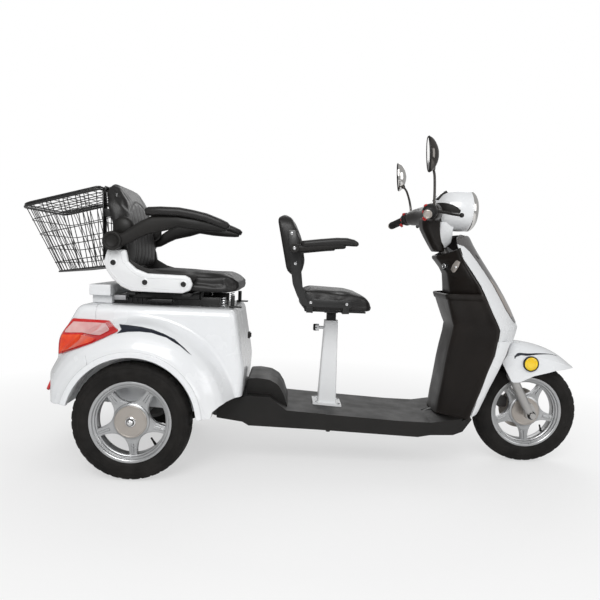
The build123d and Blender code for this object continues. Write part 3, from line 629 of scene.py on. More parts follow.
def arch_lip():
    """The flat band round the wheel opening, from its rear tip to its front end."""
    profile = [(219.5, 350), (219.5, 368.5), (221, 369.9), (236, 369.9), (238.5, 369), (240, 365.5), (239, 356),
               (236, 350)]
    rings = []
    for k in range(97):
        a = math.radians(166.5 - 162 * k / 96)
        rings.append([(AXLE_X + r * math.cos(a), y, AXLE_Z + r * math.sin(a)) for r, y in profile])
    return skin(rings)


def lamp_piece(name, outline, radii, around):
    """The part of a side outline that lies in a form."""
    return cut(loose(name, prism(rounded(outline, radii), -380, 380)), around, "INTERSECT", True)


def build_rear_body():
    solid = body_solid()
    upper_seam = prism([(-775.5, 534), (-773, 534), (-773, 590), (-775.5, 590)], -400, 400)
    lower_seam = prism([(-772, 420), (-769.5, 420), (-729, 322), (-731.5, 322)], -400, 400)
    seams = cut(loose("seam", joined(upper_seam, lower_seam)), swollen(solid, -2.5))
    lamp_room, inner = swollen(solid, 3.5), swollen(solid, 6.0)
    border = lamp_piece("lamp", LAMP, [4, 20, 5, 10, 10, 4], lamp_room)
    upper = lamp_piece("upper", LAMP_CLEAR, 4, inner)
    lower = lamp_piece("lower", LAMP_TURN, 3, inner)
    stripe = loose("stripe", prism(STRIPE_TOP + STRIPE_LOW[::-1], -390, 390))
    cut(stripe, swollen(solid, 0.5), "INTERSECT")
    middle = loose("middle", block((-1100, 0), (-195, 195), (0, 700)))
    for part in (border, upper, lower, stripe):
        cut(part, middle, keep_tool=True)
    for tool in (middle, lamp_room, inner):
        bpy.data.objects.remove(tool)
    for room in (prism(HEM, -420, 420), across_axle(220, 274, 400), across_axle(220, -400, -274),
                 prism(CAVITY, -222, 222), prism(FRONT_ROOM, -181, 181)):
        cut(solid, loose("room", room))
    cut(solid, seams)
    place("rear_body_shell", take(solid), "white_panel", "chassis", ["rear_body"])
    place("arch_lips", both(arch_lip()), "white_panel", "chassis", sharp=30)
    place("tail_lamp_borders", take(border), "lamp_red", "chassis", ["tail_lamps"])
    place("tail_lamp_upper_lenses", take(upper), "lamp_pink", "chassis", slot="lamp_red")
    place("tail_lamp_lower_lenses", take(lower), "lamp_orange", "chassis", slot="lamp_red")
    place("side_stripes", take(stripe), "stripe_navy", "chassis", slot="white_panel")


# Wheels

TREAD_STEPS = 288
STAR_TURN = 58
VALVE_ANGLE = -47


def tyre_shape():
    """A tyre about the Y axis: ribbed side walls and a tread of slanted blocks."""
    half = [(128.5, 20), (128.5, 28), (131, 31), (136, 33.6), (139, 35.4), (140.5, 35.2), (142, 36.4), (150, 38.8),
            (158, 40.2), (164, 40.9), (166, 41), (167, 40.2), (168.5, 40.9), (174, 40.4), (181, 38.6), (183, 37.2),
            (184.5, 37.6), (189, 35.6), (193.5, 32.2), (196, 29), (196.3, 27.6), (198.4, 25), (200.2, 20), (200.4, 18.4),
            (201.6, 15), (202.4, 9), (202.6, 7), (202.9, 4)]
    profile = half + [(203, 0)] + [(r, -y) for r, y in reversed(half)]
    shoulder = 19
    tread = range(shoulder, len(profile) - shoulder)

    def alter(angle, k):
        if k not in tread:
            return 0
        y = profile[k][1]
        step = round(angle / (2 * math.pi) * TREAD_STEPS)
        if abs(y) > 19:
            return -2.4 if step % 8 < 2 else 0
        if abs(y) > 6.5:
            return -3.0 if (step + (4 if y > 0 else 0)) % 8 < 2 else 0
        return -3.2 if abs(y) > 3 else 0

    return ring_form(profile, TREAD_STEPS, alter)


# Half a spoke: the angle from its middle line, and the distance from the axle
SPOKE_SIDE = [(6.6, 119), (7.4, 104), (10, 89), (15, 76), (24, 66.5), (36, 63)]


def star_outline(shrink=0.0):
    """The outline of five spokes, curved between their tips."""
    side = [(p.x, p.y) for p in curve([(angle, radius, 0) for angle, radius in SPOKE_SIDE], 4)]
    points = []
    for k in range(5):
        middle = STAR_TURN + 72 * k
        spoke = [(-angle, radius) for angle, radius in reversed(side[:-1])] + side
        for angle, radius in spoke:
            a = math.radians(middle + angle - math.copysign(shrink * 55 / radius, angle))
            radius -= shrink * 0.8
            points.append((radius * math.cos(a), radius * math.sin(a)))
    return points


def rim_shape(out):
    """A cast rim: a stepped barrel with rolled lips, a star of spokes with short ridges, and a hub."""
    half = [(127.4, 29.4), (139.2, 32.6), (139.4, 34.6), (138.2, 35.8), (135, 36), (131.5, 35.4), (129, 33.4),
            (128, 30.5), (126.5, 28.5), (122.5, 27.8), (121, 26), (120.5, 20), (119, 18.6), (116.5, 18), (115.5, 16),
            (115.2, 4)]
    outer = [(127.2, 22), (118.8, 12), (118.8, 4)]
    profile = outer[::-1] + half + [(r, -y) for r, y in reversed(half)] + [(r, -y) for r, y in outer]
    hub = [(0, -28), (34, -28), (36, -26), (40, -4), (62, -2), (63, 14), (61, 20), (56, 23), (30, 24), (0, 24)]
    parts = [ring_form(profile, 144), prism(star_outline(), -2, 13), prism(star_outline(2.5), 13, 16), turned(hub, 72)]
    ridge = skin([[(78, 15, -6.5), (78, 20.5, -3.25), (78, 20.5, 3.25), (78, 15, 6.5)],
                  [(115, 15, -4), (115, 19, -2), (115, 19, 2), (115, 15, 4)]])
    for k in range(5):
        parts.append(moved(ridge, Matrix.Rotation(math.radians(-STAR_TURN - 72 * k), 4, "Y")))
    shape = joined(*parts)
    return shape if out > 0 else mirrored(shape)


def build_wheels():
    tyre = tyre_shape()
    disc = [(0, 0), (55, 0), (55, 3.5), (53.5, 5), (50.5, 5), (49.5, 4), (19, 4), (18, 5), (16, 5), (15, 4), (0, 4)]
    cap = [(0, 0), (17, 0), (17, 2.5), (14, 3.5), (13, 5), (11.5, 10), (8, 14), (4, 16), (0, 16.6)]
    for end, word, x, y in (("front", "", FRONT_X, 0), ("rear", "_right", AXLE_X, -REAR_Y), ("rear", "_left", AXLE_X, REAR_Y)):
        name, body, spot = end + word, end + "_wheel" + word, at(x, y, AXLE_Z)
        out = 1 if y > 0 else -1

        def outward(shape, depth):
            face = Matrix.Translation((x, y + depth * out, AXLE_Z)) @ Matrix.Scale(out, 4, (0, 1, 0))
            return moved(shape, face)

        def by_rim(turn, radius, offset):
            a = math.radians(VALVE_ANGLE) + turn
            return Vector((x + radius * math.cos(a), y + offset, AXLE_Z + radius * math.sin(a)))

        place(name + "_tyre_tread", moved(tyre, spot), "tyre", body, [end + "_tyre" + word], sharp=30)
        place(name + "_cast_rim", moved(rim_shape(out), spot), "cast_wheel", body, [end + "_rim" + word], sharp=32)
        place(name + "_hub_disc", outward(turned(disc, 96), 23.5), "brushed_disc", body, slot="cast_wheel")
        if y:
            place(name + "_hub_cap", outward(turned(cap, 48), 27), "chrome", body)
        foot, tip = by_rim(0, 119, 2), by_rim(0.12, 88, -12)
        stem = sweep([foot, foot.lerp(tip, 0.35), foot.lerp(tip, 0.6), tip], lambda t: 4.6 if t < 0.5 else 3.4, 12)
        place(name + "_valve", stem, "grip_rubber", body)
    brake = ring_form([(58, 40.2), (82, 40.2), (82, 43.8), (58, 43.8)], 96)
    carrier = turned([(0, 20), (49, 20), (50, 22), (50, 39), (62, 40), (62, 44), (0, 44)])
    place("front_brake_disc", moved(joined(brake, carrier), at(FRONT_X, 0, AXLE_Z)), "brushed_disc", "front_wheel",
          slot="cast_wheel")


# Soft pieces

def soft_block(side, plan, plan_axis, voxel, relax):
    """A rounded block: a side outline cut by an outline along another axis."""
    y = max(abs(p[0 if plan_axis == "X" else 1]) for p in plan) + 5
    solid = loose("soft", prism(side, -y, y))
    cut(solid, loose("plan", prism(plan, -1200, 1200, plan_axis)), "INTERSECT")
    return remeshed(solid, voxel, relax)


PUFF_FRAMES = 20


def puff(obj, cap, held):
    """Lets the cover swell by up to cap, as a cushion does. held(point, normal) is true where it rests on something."""
    start = [v.co.copy() for v in obj.data.vertices]
    group = obj.vertex_groups.new(name="held")
    group.add([v.index for v in obj.data.vertices if held(v.co / MM, v.normal)], 1.0, "REPLACE")
    cloth = obj.modifiers.new("cloth", "CLOTH")
    settings = cloth.settings
    settings.quality = 5
    settings.mass = 0.3
    settings.use_pressure = True
    settings.uniform_pressure_force = 4.0
    settings.tension_stiffness = settings.compression_stiffness = 15
    settings.bending_stiffness = 4.0
    settings.effector_weights.gravity = 0.0
    settings.vertex_group_mass = "held"
    cloth.point_cache.frame_start = 1
    cloth.point_cache.frame_end = PUFF_FRAMES
    for step in range(1, PUFF_FRAMES + 1):
        scene.frame_set(step)
    done = obj.evaluated_get(bpy.context.evaluated_depsgraph_get()).data
    ends = [v.co.copy() for v in done.vertices]
    obj.modifiers.clear()
    obj.vertex_groups.clear()
    for vertex, a, b in zip(obj.data.vertices, start, ends):
        shift = b - a
        if shift.length > cap * MM:
            shift *= cap * MM / shift.length
        vertex.co = a + shift
    scene.frame_set(1)
    relax = obj.modifiers.new("relax", "SMOOTH")
    relax.factor = 0.5
    relax.iterations = 4
    return bake(obj)


def sew(obj, depth):
    """Moves each point inwards by depth(point, normal), in millimetres: seams, channels and creases."""
    mesh = obj.data
    shifts = []
    for vertex in mesh.vertices:
        shifts.append(vertex.normal * (-depth(vertex.co / MM, vertex.normal) * MM))
    for vertex, shift in zip(mesh.vertices, shifts):
        vertex.co += shift
    mesh.update()
    return obj


def trough(distance, width):
    """1 at a seam, falling to 0 at a width from it."""
    share = abs(distance) / width
    return 0.0 if share > 1 else (1 - share * share) ** 2


def padded_piece(name, obj, body, node):
    obj.modifiers.new("even", "SUBSURF").levels = 1
    place(name, take(bake(obj)), "vinyl", body, [node], sharp=80)


def channels(y, depth, power):
    """Sewn channels side by side, 52 mm apart."""
    return depth * (0.5 + 0.5 * math.cos(y * 2 * math.pi / 52)) ** power


def build_cushions():
    side = rounded([(-684, 640), (-684, 694), (-600, 706), (-500, 704), (-400, 699), (-312, 700), (-268, 675),
                    (-290, 644), (-332, 638)], [18, 22, 60, 60, 60, 34, 20, 16, 10], 8)
    plan = rounded([(-684, -198), (-268, -198), (-268, 198), (-684, 198)], [30, 85, 85, 30], 10)
    seat = soft_block(side, plan, "Z", 6.5, 14)
    seat = puff(seat, 9, lambda p, n: p.z < 646)

    def seat_seams(p, n):
        groove = 2.2 * trough(p.z - 668, 5) if abs(n.z) < 0.85 else 0
        if n.z > 0.6:
            inner = max(abs(p.y) - 120, p.x + 385, -620 - p.x)
            groove = max(groove, 2.0 * trough(inner, 5))
            if inner < 0:
                groove = max(groove, channels(p.y, 1.2, 5))
        return groove

    padded_piece("seat_cushion_cover", sew(seat, seat_seams), "main_seat", "seat_cushion")

    side = rounded([(-672, 716), (-676, 800), (-692, 900), (-713, 985), (-733, 1026), (-756, 1016), (-771, 985),
                    (-737, 868), (-716, 716)], [12, 40, 60, 40, 16, 12, 14, 40, 12], 8)
    front = rounded([(-200, 716), (200, 716), (197, 930), (140, 1026), (-140, 1026), (-197, 930)],
                    [34, 34, 80, 80, 80, 80], 10)
    back = soft_block(side, front, "X", 6.0, 10)
    back = puff(back, 8, lambda p, n: n.x < -0.4 or p.z < 722)

    def back_seams(p, n):
        groove = 0.0
        if n.x > 0.35:
            arch = 905 + 55 * (1 - min(abs(p.y) / 140, 1) ** 2)
            inner = max(abs(p.y) - 128, p.z - arch)
            groove = 2.4 * trough(inner, 6)
            if inner < 0:
                groove = max(groove, channels(p.y, 2.4, 6))
        return groove

    padded_piece("seat_back_cover", sew(back, back_seams), "main_seat", "seat_backrest")

    side = rounded([(-46, 659), (120, 653), (183, 639), (213, 614), (208, 586), (-43, 586), (-67, 622)],
                   [22, 60, 40, 18, 12, 12, 28], 8)
    plan = rounded([(-63, -169), (210, -169), (210, 169), (-63, 169)], [34, 70, 70, 34], 10)
    seat = puff(soft_block(side, plan, "Z", 5.5, 12), 6, lambda p, n: p.z < 596)

    def child_seams(p, n):
        groove = 1.8 * trough(p.z - 618 + 0.06 * p.x, 4.5) if abs(n.z) < 0.8 else 0
        return max(groove, 1.6 * trough(abs(p.y) - 112, 5) if n.z > 0.7 else 0)

    padded_piece("child_cushion_cover", sew(seat, child_seams), "child_seat", "child_cushion")

    side = rounded([(-153, 918), (-126, 935), (-102, 926), (-66, 842), (-50, 745), (-60, 710), (-92, 709), (-113, 728)],
                   [10, 16, 14, 60, 16, 14, 12, 30], 8)
    front = rounded([(-166, 709), (166, 709), (162, 905), (125, 935), (-125, 935), (-162, 905)],
                    [40, 40, 50, 60, 60, 50], 10)
    back = puff(soft_block(side, front, "X", 5.5, 10), 6, lambda p, n: n.x < -0.5)

    def child_back_seams(p, n):
        inner = max(abs(p.y) - 112, p.z - 880, 745 - p.z)
        return 1.8 * trough(inner, 5) if n.x > 0.3 else 0.0

    padded_piece("child_back_cover", sew(back, child_back_seams), "child_seat", "child_backrest")


# Armrests: a moulded pad over a bar that grows out of a round hub

def arm_shape(rows, y):
    return skin([oval((x, y, z), w, h, tilt) for x, z, w, h, tilt in rows])


# x, z, half width, half height, tilt
MAIN_PAD = [(-604, 911, 10, 8, 8), (-602, 912, 20, 13, 7), (-592, 913.5, 24, 15.5, 5), (-550, 916, 26, 16, 3),
            (-488, 915.5, 26.5, 16, -3), (-440, 909, 26, 15.5, -9), (-396, 900, 25, 15.5, -14), (-350, 884, 23, 15, -20),
            (-326, 875, 20, 13.5, -21), (-316, 871, 13, 8, -22)]
MAIN_BAR = [(-716, 806, 12, 18, 24), (-700, 812, 13, 21, 30), (-671, 819, 13.5, 21, 28), (-640, 839, 14, 23, 30),
            (-610, 857, 15, 26, 26), (-575, 871, 16, 30, 14), (-540, 876, 17, 27, 6), (-495, 883, 18, 20, -2),
            (-435, 877, 18, 21, -8), (-380, 870, 17, 17, -14), (-340, 864, 15, 11, -18), (-326, 862, 10, 7, -18)]
CHILD_PAD = [(-66, 822, 8, 8, 8), (-62, 823, 14, 12, 8), (-50, 824, 18, 13, 8), (0, 830, 18.5, 14, 6),
             (60, 836, 18, 15, 4), (96, 837, 17, 14.5, 0), (120, 834, 15, 12, -8), (133, 830, 10, 8, -14), (137, 829, 5, 3, -14)]
CHILD_BAR = [(-100, 806, 9, 12, 6), (-80, 807, 11, 13, 8), (-40, 812, 13, 15, 8), (20, 819, 14, 14, 5),
             (60, 822, 13, 12, 3), (84, 822, 12, 10, 2), (90, 821, 8, 6, 2)]


def sided(shape, side):
    return shape if side > 0 else mirrored(shape)


MAIN_HUB = [(0, -24), (31, -24), (33, -22), (33, 17), (31.5, 20), (27, 21), (24, 20), (21.5, 16.5), (18, 14.5), (0, 13.5)]
CHILD_HUB = [(0, -22), (15, -22), (17, -20), (17, 18), (15.5, 20), (0, 20)]


def build_arm(name, node, side, bar, pad, hub, hub_x, bar_y, pad_y, steps):
    hub = moved(turned(hub, steps), at(hub_x, bar_y, 808))
    place(name + "_bar", sided(joined(arm_shape(bar, bar_y), hub), side), "black_plastic", name, [node])
    place(name + "_pad", sided(arm_shape(pad, pad_y), side), "vinyl", name, sharp=60)


def build_arms():
    for side, word in SIDES:
        build_arm("main_armrest_" + word, "armrest_" + word, side, MAIN_BAR, MAIN_PAD, MAIN_HUB, -715, 250, 254, 56)
        name = "child_arm_" + word
        build_arm(name, "child_armrest_" + word, side, CHILD_BAR, CHILD_PAD, CHILD_HUB, -88, 232, 232, 40)
        place(name + "_screw", sided(moved(cap_screw(6.5, 4), at(-88, 252, 808)), side), "chrome", name)


# Basket

RIM_ENDS = ((-1053.5, 916), (-781, 990))
FLOOR_ENDS = ((-938, 691), (-765, 718))
THIN_WIRE = 1.7


def basket_loop(share, grow=0.0, corner=42):
    """A level ring of the basket: share is 0 at the floor and 1 at the rim."""
    (fx0, fz0), (fx1, fz1) = FLOOR_ENDS
    (rx0, rz0), (rx1, rz1) = RIM_ENDS
    x0, x1 = fx0 + (rx0 - fx0) * share - grow, fx1 + (rx1 - fx1) * share + grow
    z0, z1 = fz0 + (rz0 - fz0) * share, fz1 + (rz1 - fz1) * share
    half_w = 181 + 20 * share + grow
    plan = rounded([(x0, -half_w), (x1, -half_w), (x1, half_w), (x0, half_w)], [corner, 12, 12, corner], 8)
    dense = []
    for k, point in enumerate(plan):
        after = Vector(plan[(k + 1) % len(plan)])
        here = Vector(point)
        parts = max(1, round((after - here).length / 15))
        dense += [tuple(here.lerp(after, i / parts)) for i in range(parts)]
    return [(x, y, z0 + (z1 - z0) * (x - x0) / (x1 - x0)) for x, y in dense]


def loop_point(loop, side, share):
    """A point of a ring: side is right, rear, left or front, share runs along it."""
    xs = [p[0] for p in loop]
    ys = [p[1] for p in loop]
    if side in ("right", "left"):
        sign = -1 if side == "right" else 1
        x = min(xs) + 20 + (max(xs) - min(xs) - 26) * share
        near = [p for p in loop if p[1] * sign > max(ys) - 40]
        return min(near, key=lambda p: abs(p[0] - x) + abs(abs(p[1]) - max(ys)) * 0.2)
    y = (min(ys) + 24) + (max(ys) - min(ys) - 48) * share
    end = min(xs) if side == "rear" else max(xs)
    return min(loop, key=lambda p: abs(p[1] - y) + abs(p[0] - end))


def straight_wires(starts, ends, count, middle=False):
    """Wires between two (ring, side) lines, with or without a point halfway."""
    wires = []
    for k in range(count):
        share = (k + 0.5) / count
        path = [loop_point(*starts, share), loop_point(*ends, share)]
        if middle:
            path.insert(1, Vector(path[0]).lerp(Vector(path[1]), 0.5))
        wires.append(sweep(path, THIN_WIRE, 8))
    return wires


def build_basket():
    rim, floor = basket_loop(1.0), basket_loop(0.0)
    wires = [sweep(rim, 4.6, 12, True), sweep(floor, 3.2, 8, True)]
    for share in (0.14, 0.36, 0.58, 0.80):
        wires.append(sweep(basket_loop(share, -1.5), THIN_WIRE, 8, True))
    for side, count in (("right", 13), ("left", 13), ("rear", 12), ("front", 10)):
        wires += straight_wires((floor, side), (rim, side), count, middle=True)
    wires += straight_wires((floor, "right"), (floor, "left"), 11)
    wires += straight_wires((floor, "rear"), (floor, "front"), 9)
    place("basket_wires", joined(*wires), "wire_black", "main_seat", ["basket"])
    plate = [(-773, 742), (-768.5, 742), (-774, 986), (-778.5, 986)]
    mount = [both(prism(plate, 142, 178)), both(block((-772, -739), (150, 170), (760, 788))),
             both(block((-775, -739), (150, 170), (895, 923))), prism(plate, -60, 60),
             sweep([(-776, -150, 1002), (-776, 150, 1002)], 4, 16)]
    mount += [block((-779, -773), (y - 5, y + 5), (984, 1002)) for y in (-150, 0, 150)]
    place("basket_mount", joined(*mount), "black_frame", "main_seat", slot="wire_black", bevel=0.8)
    bolts = [moved(cap_screw(6.5, 4), facing((-778, y, z), (-1, 0, 0.02))) for y in (-160, 160) for z in (800, 905, 960)]
    place("basket_bolts", joined(*bolts), "chrome", "main_seat")
    edge = [(x, y, z + 8.5 - (0 if x < -790 else 1)) for x, y, z in basket_loop(1.0, -1.0)]
    lid = [sweep(edge, 3.4, 10, True)]
    lid += straight_wires((edge, "right"), (edge, "left"), 9) + straight_wires((edge, "rear"), (edge, "front"), 6)
    for y in (-75, 75):
        tube = ring_form([(4.3, -20), (7.4, -20), (7.4, 20), (4.3, 20)], 32)
        lid += [moved(tube, at(-776, y, 1002)), block((-783, -777.5), (y - 14, y + 14), (993, 999))]
    place("basket_lid_wires", joined(*lid), "wire_black", "lid", ["basket_lid"])


# Front

# Height, middle x, half width of the middle, edge x and edge y, a step back, and how far the edge rises
SHIELD_LOW = [(198, 484, 74, 577, 184, 0, 6), (208, 487, 74, 580, 186, 0, 2), (260, 493, 75, 596, 189, 0, 0),
              (322, 502, 75, 613, 192, 0, 0), (400, 512, 74, 638, 197, 0, 0), (449, 520, 73, 650, 201, 0, 0), (505, 531, 72, 660, 205, 0, 0),
              (540, 535, 72, 662, 206, 0, 0), (560, 527, 76, 656, 203, 0, 0), (600, 513, 84, 637, 194, 0, 0),
              (636, 501, 90, 618, 185, 0, 6), (640, 499, 91, 615, 184, 0, 6), (641, 499, 91, 615, 184, 4, 6),
              (656, 495, 93, 607, 180, 5, 8), (659, 494, 94, 605, 179, 3, 8), (660, 494, 94, 604, 179, 0, 8)]
SHIELD_TOP = [(520, 540, 68, 661, 205, -8, 0), (600, 530, 62, 640, 194, -6, 0), (655, 519, 58, 612, 183, 0, 0),
              (700, 514, 52, 592, 170, 0, 0), (738, 508, 46, 568, 153, 0, 0), (762, 494, 43, 549, 142, 0, 8),
              (784, 476, 42, 535, 134, 0, 20), (796, 469, 42, 531, 131, 4, 27), (803, 469, 41, 529, 128, 5, 28),
              (806, 475, 40, 529, 125, 2, 28)]


def grid(rows):
    """An open surface over rows of equally many points."""
    count = len(rows[0])
    faces = []
    for k in range(len(rows) - 1):
        for i in range(count - 1):
            a, b = k * count + i, (k + 1) * count + i
            faces.append([a, a + 1, b + 1, b])
    return [tuple(p) for row in rows for p in row], faces


def walled(name, shape, thickness):
    """Gives an open surface a thickness, half on each side."""
    obj = loose(name, shape)
    wall = obj.modifiers.new("wall", "SOLIDIFY")
    wall.thickness = thickness * MM
    wall.offset = 0.0
    return take(bake(obj))


def shield_rows(rows):
    result = []
    for z, middle, half, edge, edge_y, back, rise in rows:
        middle, edge = middle - back, edge - back * 0.6
        side = [(middle, half * 0.45, z), (middle + 1, half * 0.85, z), (middle + 7, half * 1.12, z + rise * 0.1)]
        for share in (0.35, 0.6, 0.82):
            bow = 5 * math.sin(math.pi * share)
            side.append((middle + (edge - middle) * share + bow, half + (edge_y - half) * share + bow * 0.6,
                         z + rise * share))
        side += [(edge - 4, edge_y - 1, z + rise), (edge + 3, edge_y + 1, z + rise)]
        ring = [(x, -y, h) for x, y, h in reversed(side)] + [(middle, 0, z)] + side
        result.append(curve(ring, 4))
    return result


def build_leg_shield():
    low, top = (grid(shield_rows(rows)) for rows in (SHIELD_LOW, SHIELD_TOP))
    panel = walled("panel", joined(low, top), 3.5)
    place("leg_shield_panel", panel, "shield_plastic", "chassis", ["leg_shield"], slot="black_plastic", sharp=50)
    lock = facing((496, -58, 764), (-0.86, -0.5, 0.2))
    pad = turned([(0, 0), (15, 0), (14, 3), (11, 4), (9, 3), (0, 3)], 40)
    place("ignition_lock", moved(pad, lock), "black_frame", "chassis", slot="black_plastic")
    place("ignition_slit", moved(block((-1.2, 1.2), (2.8, 3.4), (-5, 5)), lock), "chrome", "chassis")
    bow = sweep(curve([(0, 8, -9), (9, 10, 0), (0, 12, 9), (-9, 10, 0)], 6, True), 1.8, 8, True)
    shaft = block((-1, 1), (2, 14), (-3, 3))
    place("ignition_key", moved(joined(bow, shaft), lock), "chrome", "chassis")
    outwards = (-0.66, -0.72, 0.2)
    leaf = prism(rounded([(-13, -20), (-6, -26), (8, -22), (13, -4), (12, 16), (5, 24), (-7, 22), (-12, 4)], 5), 0, 3)
    place("lock_plate", moved(leaf, facing((520, -110, 768), outwards)), "brushed_disc", "chassis", slot="chrome",
          bevel=0.8)
    barrel = turned([(0, 0), (6, 0), (6, 2), (3, 3), (3, 6), (0, 6.5)], 24)
    place("lock_barrel", moved(barrel, facing((520, -112, 764), outwards)), "chrome", "chassis")


def wrap(top, low, targets, lift, across=6, steps=5, side=-1):
    """A strip between two lines of (x, z) points, laid on what it meets along Y and lifted off it."""
    top, low = ([Vector((p.x, p.z)) for p in curve([(x, 0, z) for x, z in line], steps)] for line in (top, low))
    rows = []
    for k in range(across + 1):
        row = []
        for start, end in zip(top, low):
            x, z = start.lerp(end, k / across)
            best = None
            for target in targets:
                hit, spot, normal, face = target.ray_cast((x * MM, 0.6 * side, z * MM), (0, -side, 0))
                if hit and (best is None or spot.y * side > best[0].y * side):
                    best = (spot, normal)
            if best is None:
                best = (Vector((x, rows[-1][-1][1] if rows else 100 * side, z)) * MM, Vector((0, side, 0)))
            row.append(tuple((best[0] + best[1] * lift * MM) / MM))
        rows.append(row)
    return grid(rows)


# Height, edge x, edge y, nose x, and how far the grey panel reaches from the middle to the edge
COVER_ROWS = [(478, 660, 207, 775, 0.0), (481, 661, 208, 781, 0.0), (487, 662, 208.5, 786, 0.0),
              (500, 664, 209, 790, 0.0), (520, 666, 210, 796, 0.0), (543, 667, 211, 800, 0.0), (556, 662, 208, 794, 0.0), (560, 661, 207, 792, 0.40),
              (575, 654, 204, 785, 0.52), (610, 638, 196, 768, 0.60), (655, 619, 187, 742, 0.615),
              (700, 598, 177, 713, 0.617), (745, 571, 161, 682, 0.625), (791, 542, 142, 650, 0.64),
              (825, 525, 129, 627, 0.70),
              (843, 519, 123, 616, 0.82), (849, 518, 119, 612, 1.0), (868, 521, 96, 602, 1.0), (878, 527, 78, 597, 1.0),
              (884, 536, 62, 592, 1.0), (887, 546, 46, 585, 1.0), (888, 556, 24, 573, 1.0)]
# Height, edge x, edge y, front x, front y
WING_ROWS = [(216, 583, 190, 604, 174), (222, 584, 190, 612, 172), (240, 589, 191, 621, 172), (322, 617, 196, 654, 173),
             (382, 633, 200, 681, 174), (449, 655, 206, 707, 176), (500, 661, 209, 722, 176)]


LENS_FOOT, LENS_HIGH = 580, 148


def cover_row(z):
    for low, high in zip(COVER_ROWS, COVER_ROWS[1:]):
        if low[0] <= z <= high[0]:
            share = (z - low[0]) / (high[0] - low[0])
            return [a + (b - a) * share for a, b in zip(low, high)]
    return list(COVER_ROWS[-1])


def cover_point(z, share, lift=0.0):
    """A point of the front cover: share is 0 at the nose and 1 (or -1) at its edge."""
    z, edge, edge_y, nose, reach = cover_row(z)
    bow = abs(share) ** 1.75
    return nose + lift - (nose - edge) * bow, edge_y * share * (1 + lift / 150), z


def cover_patch(heights, span):
    """A patch of the cover. span(z) gives the shares between which it runs."""
    rows = []
    for z, lift in heights:
        start, end = span(z)
        rows.append([cover_point(z, start + (end - start) * k / 16, lift) for k in range(17)])
    return grid(rows)


def build_front_cover():
    dense = []
    for low, high in zip(COVER_ROWS, COVER_ROWS[1:]):
        parts = max(1, round((high[0] - low[0]) / 12))
        dense += [low[0] + (high[0] - low[0]) * k / parts for k in range(parts)]
    dense.append(COVER_ROWS[-1][0])
    white = [z for z in dense if z <= 849]
    grey = [z for z in dense if z >= 560]
    sides = []
    for side in (-1, 1):
        sides.append(cover_patch([(z, 0) for z in white], lambda z: (cover_row(z)[4] * side, side)))
    wing = []
    for z, edge, edge_y, front, front_y in WING_ROWS:
        x, y = (edge + front) / 2, (edge_y + front_y) / 2
        ring = [(edge, edge_y), (x, y + 3), (front - 5, front_y + 1.5), (front, front_y - 3), (front - 4, front_y - 8),
                (x, y - 4), (edge, edge_y - 6)]
        wing.append([(x, y, z) for x, y in ring])
    shell = walled("cover", joined(*sides), 3)
    place("front_cover_shell", shell, "white_panel", "chassis", ["front_cover"], sharp=60)
    place("front_wings", both(skin(wing)), "white_panel", "chassis", sharp=50)
    panel = walled("panel", cover_patch([(z, 0.8) for z in grey], lambda z: (-cover_row(z)[4], cover_row(z)[4])), 4)
    place("front_panel", panel, "grey_panel", "chassis", ["front_trim"], sharp=60)
    for side, word in SIDES:
        def lens_span(z):
            share = (z - LENS_FOOT) / LENS_HIGH
            return 0.30 * side + 0.27 * side * share ** 2, (cover_row(z)[4] - 0.015) * side

        heights = [(LENS_FOOT + LENS_HIGH * k / 14, 2.6 if 0 < k < 14 else 1.4) for k in range(15)]
        place("nose_lens_" + word, walled("lens", cover_patch(heights, lens_span), 1.6), "smoked_lens", "chassis",
              slot="grey_panel")
        # A black sheet laid over the cover where its slot opens: painted shade of the opening.
        heights = [(798 + 4 * k, 3.2) for k in range(5)]
        slot_shade = cover_patch(heights, lambda z: ((0.44 + (z - 798) * 0.004) * side, (0.50 + (z - 798) * 0.002) * side))
        place("nose_slot_shade_" + word, walled("slot", slot_shade, 0.8), "black_plastic", "chassis")


# The upper and lower edge of the line and of its hooked end
FENDER_LINE = ([(778, 442), (790, 446), (818, 445), (866, 446), (915, 443), (955, 434)],
               [(783, 434), (796, 438.5), (818, 437.5), (866, 442), (915, 441.5), (955, 433.5)])
FENDER_HOOK = ([(779, 442), (770, 434), (771, 424)], [(784, 435), (776, 431), (773, 424)])


def build_fender_trim():
    fender = [frame["nodes"]["front_fender"]]
    rim = ring_form([(25.5, 0), (29.5, 0), (29.5, 7), (28, 9), (26, 9)], 48)
    ribs = [moved(block((-w, w), (7, 9.4), (k * 5 - 0.8, k * 5 + 0.8)), at(0, 0, 0, turn_y=90))
            for k, w in ((-3, 17), (-2, 20), (-1, 22), (0, 23), (1, 22), (2, 20), (3, 17))]
    lens = joined(turned([(0, 0), (25.6, 0), (25.6, 6.5), (23, 8), (12, 9.3), (0, 9.6)], 48), *ribs)
    spot = at(833, 98, 407)
    for side, word in SIDES:
        for part, (top, low) in (("line", FENDER_LINE), ("hook", FENDER_HOOK)):
            strip = wrap(top, low, fender, 0.5, 2, side=side)
            place(f"fender_{part}_{word}", walled(part, strip, 0.7), "stripe_navy", "steering", slot="white_panel")
        place("reflector_ring_" + word, sided(moved(rim, spot), side), "black_plastic", "steering")
        place("reflector_lens_" + word, sided(moved(lens, spot), side), "lamp_amber", "steering",
              ["fender_reflectors"] if side < 0 else ())


# x, half width, low z, high z
LAMP_ROWS = [(440, 20, 960, 992), (444, 38, 946, 1008), (456, 56, 934, 1027), (480, 74, 917, 1052), (514, 87, 906, 1062),
             (550, 92, 903, 1065), (580, 89, 905, 1064), (583, 87, 907, 1062)]
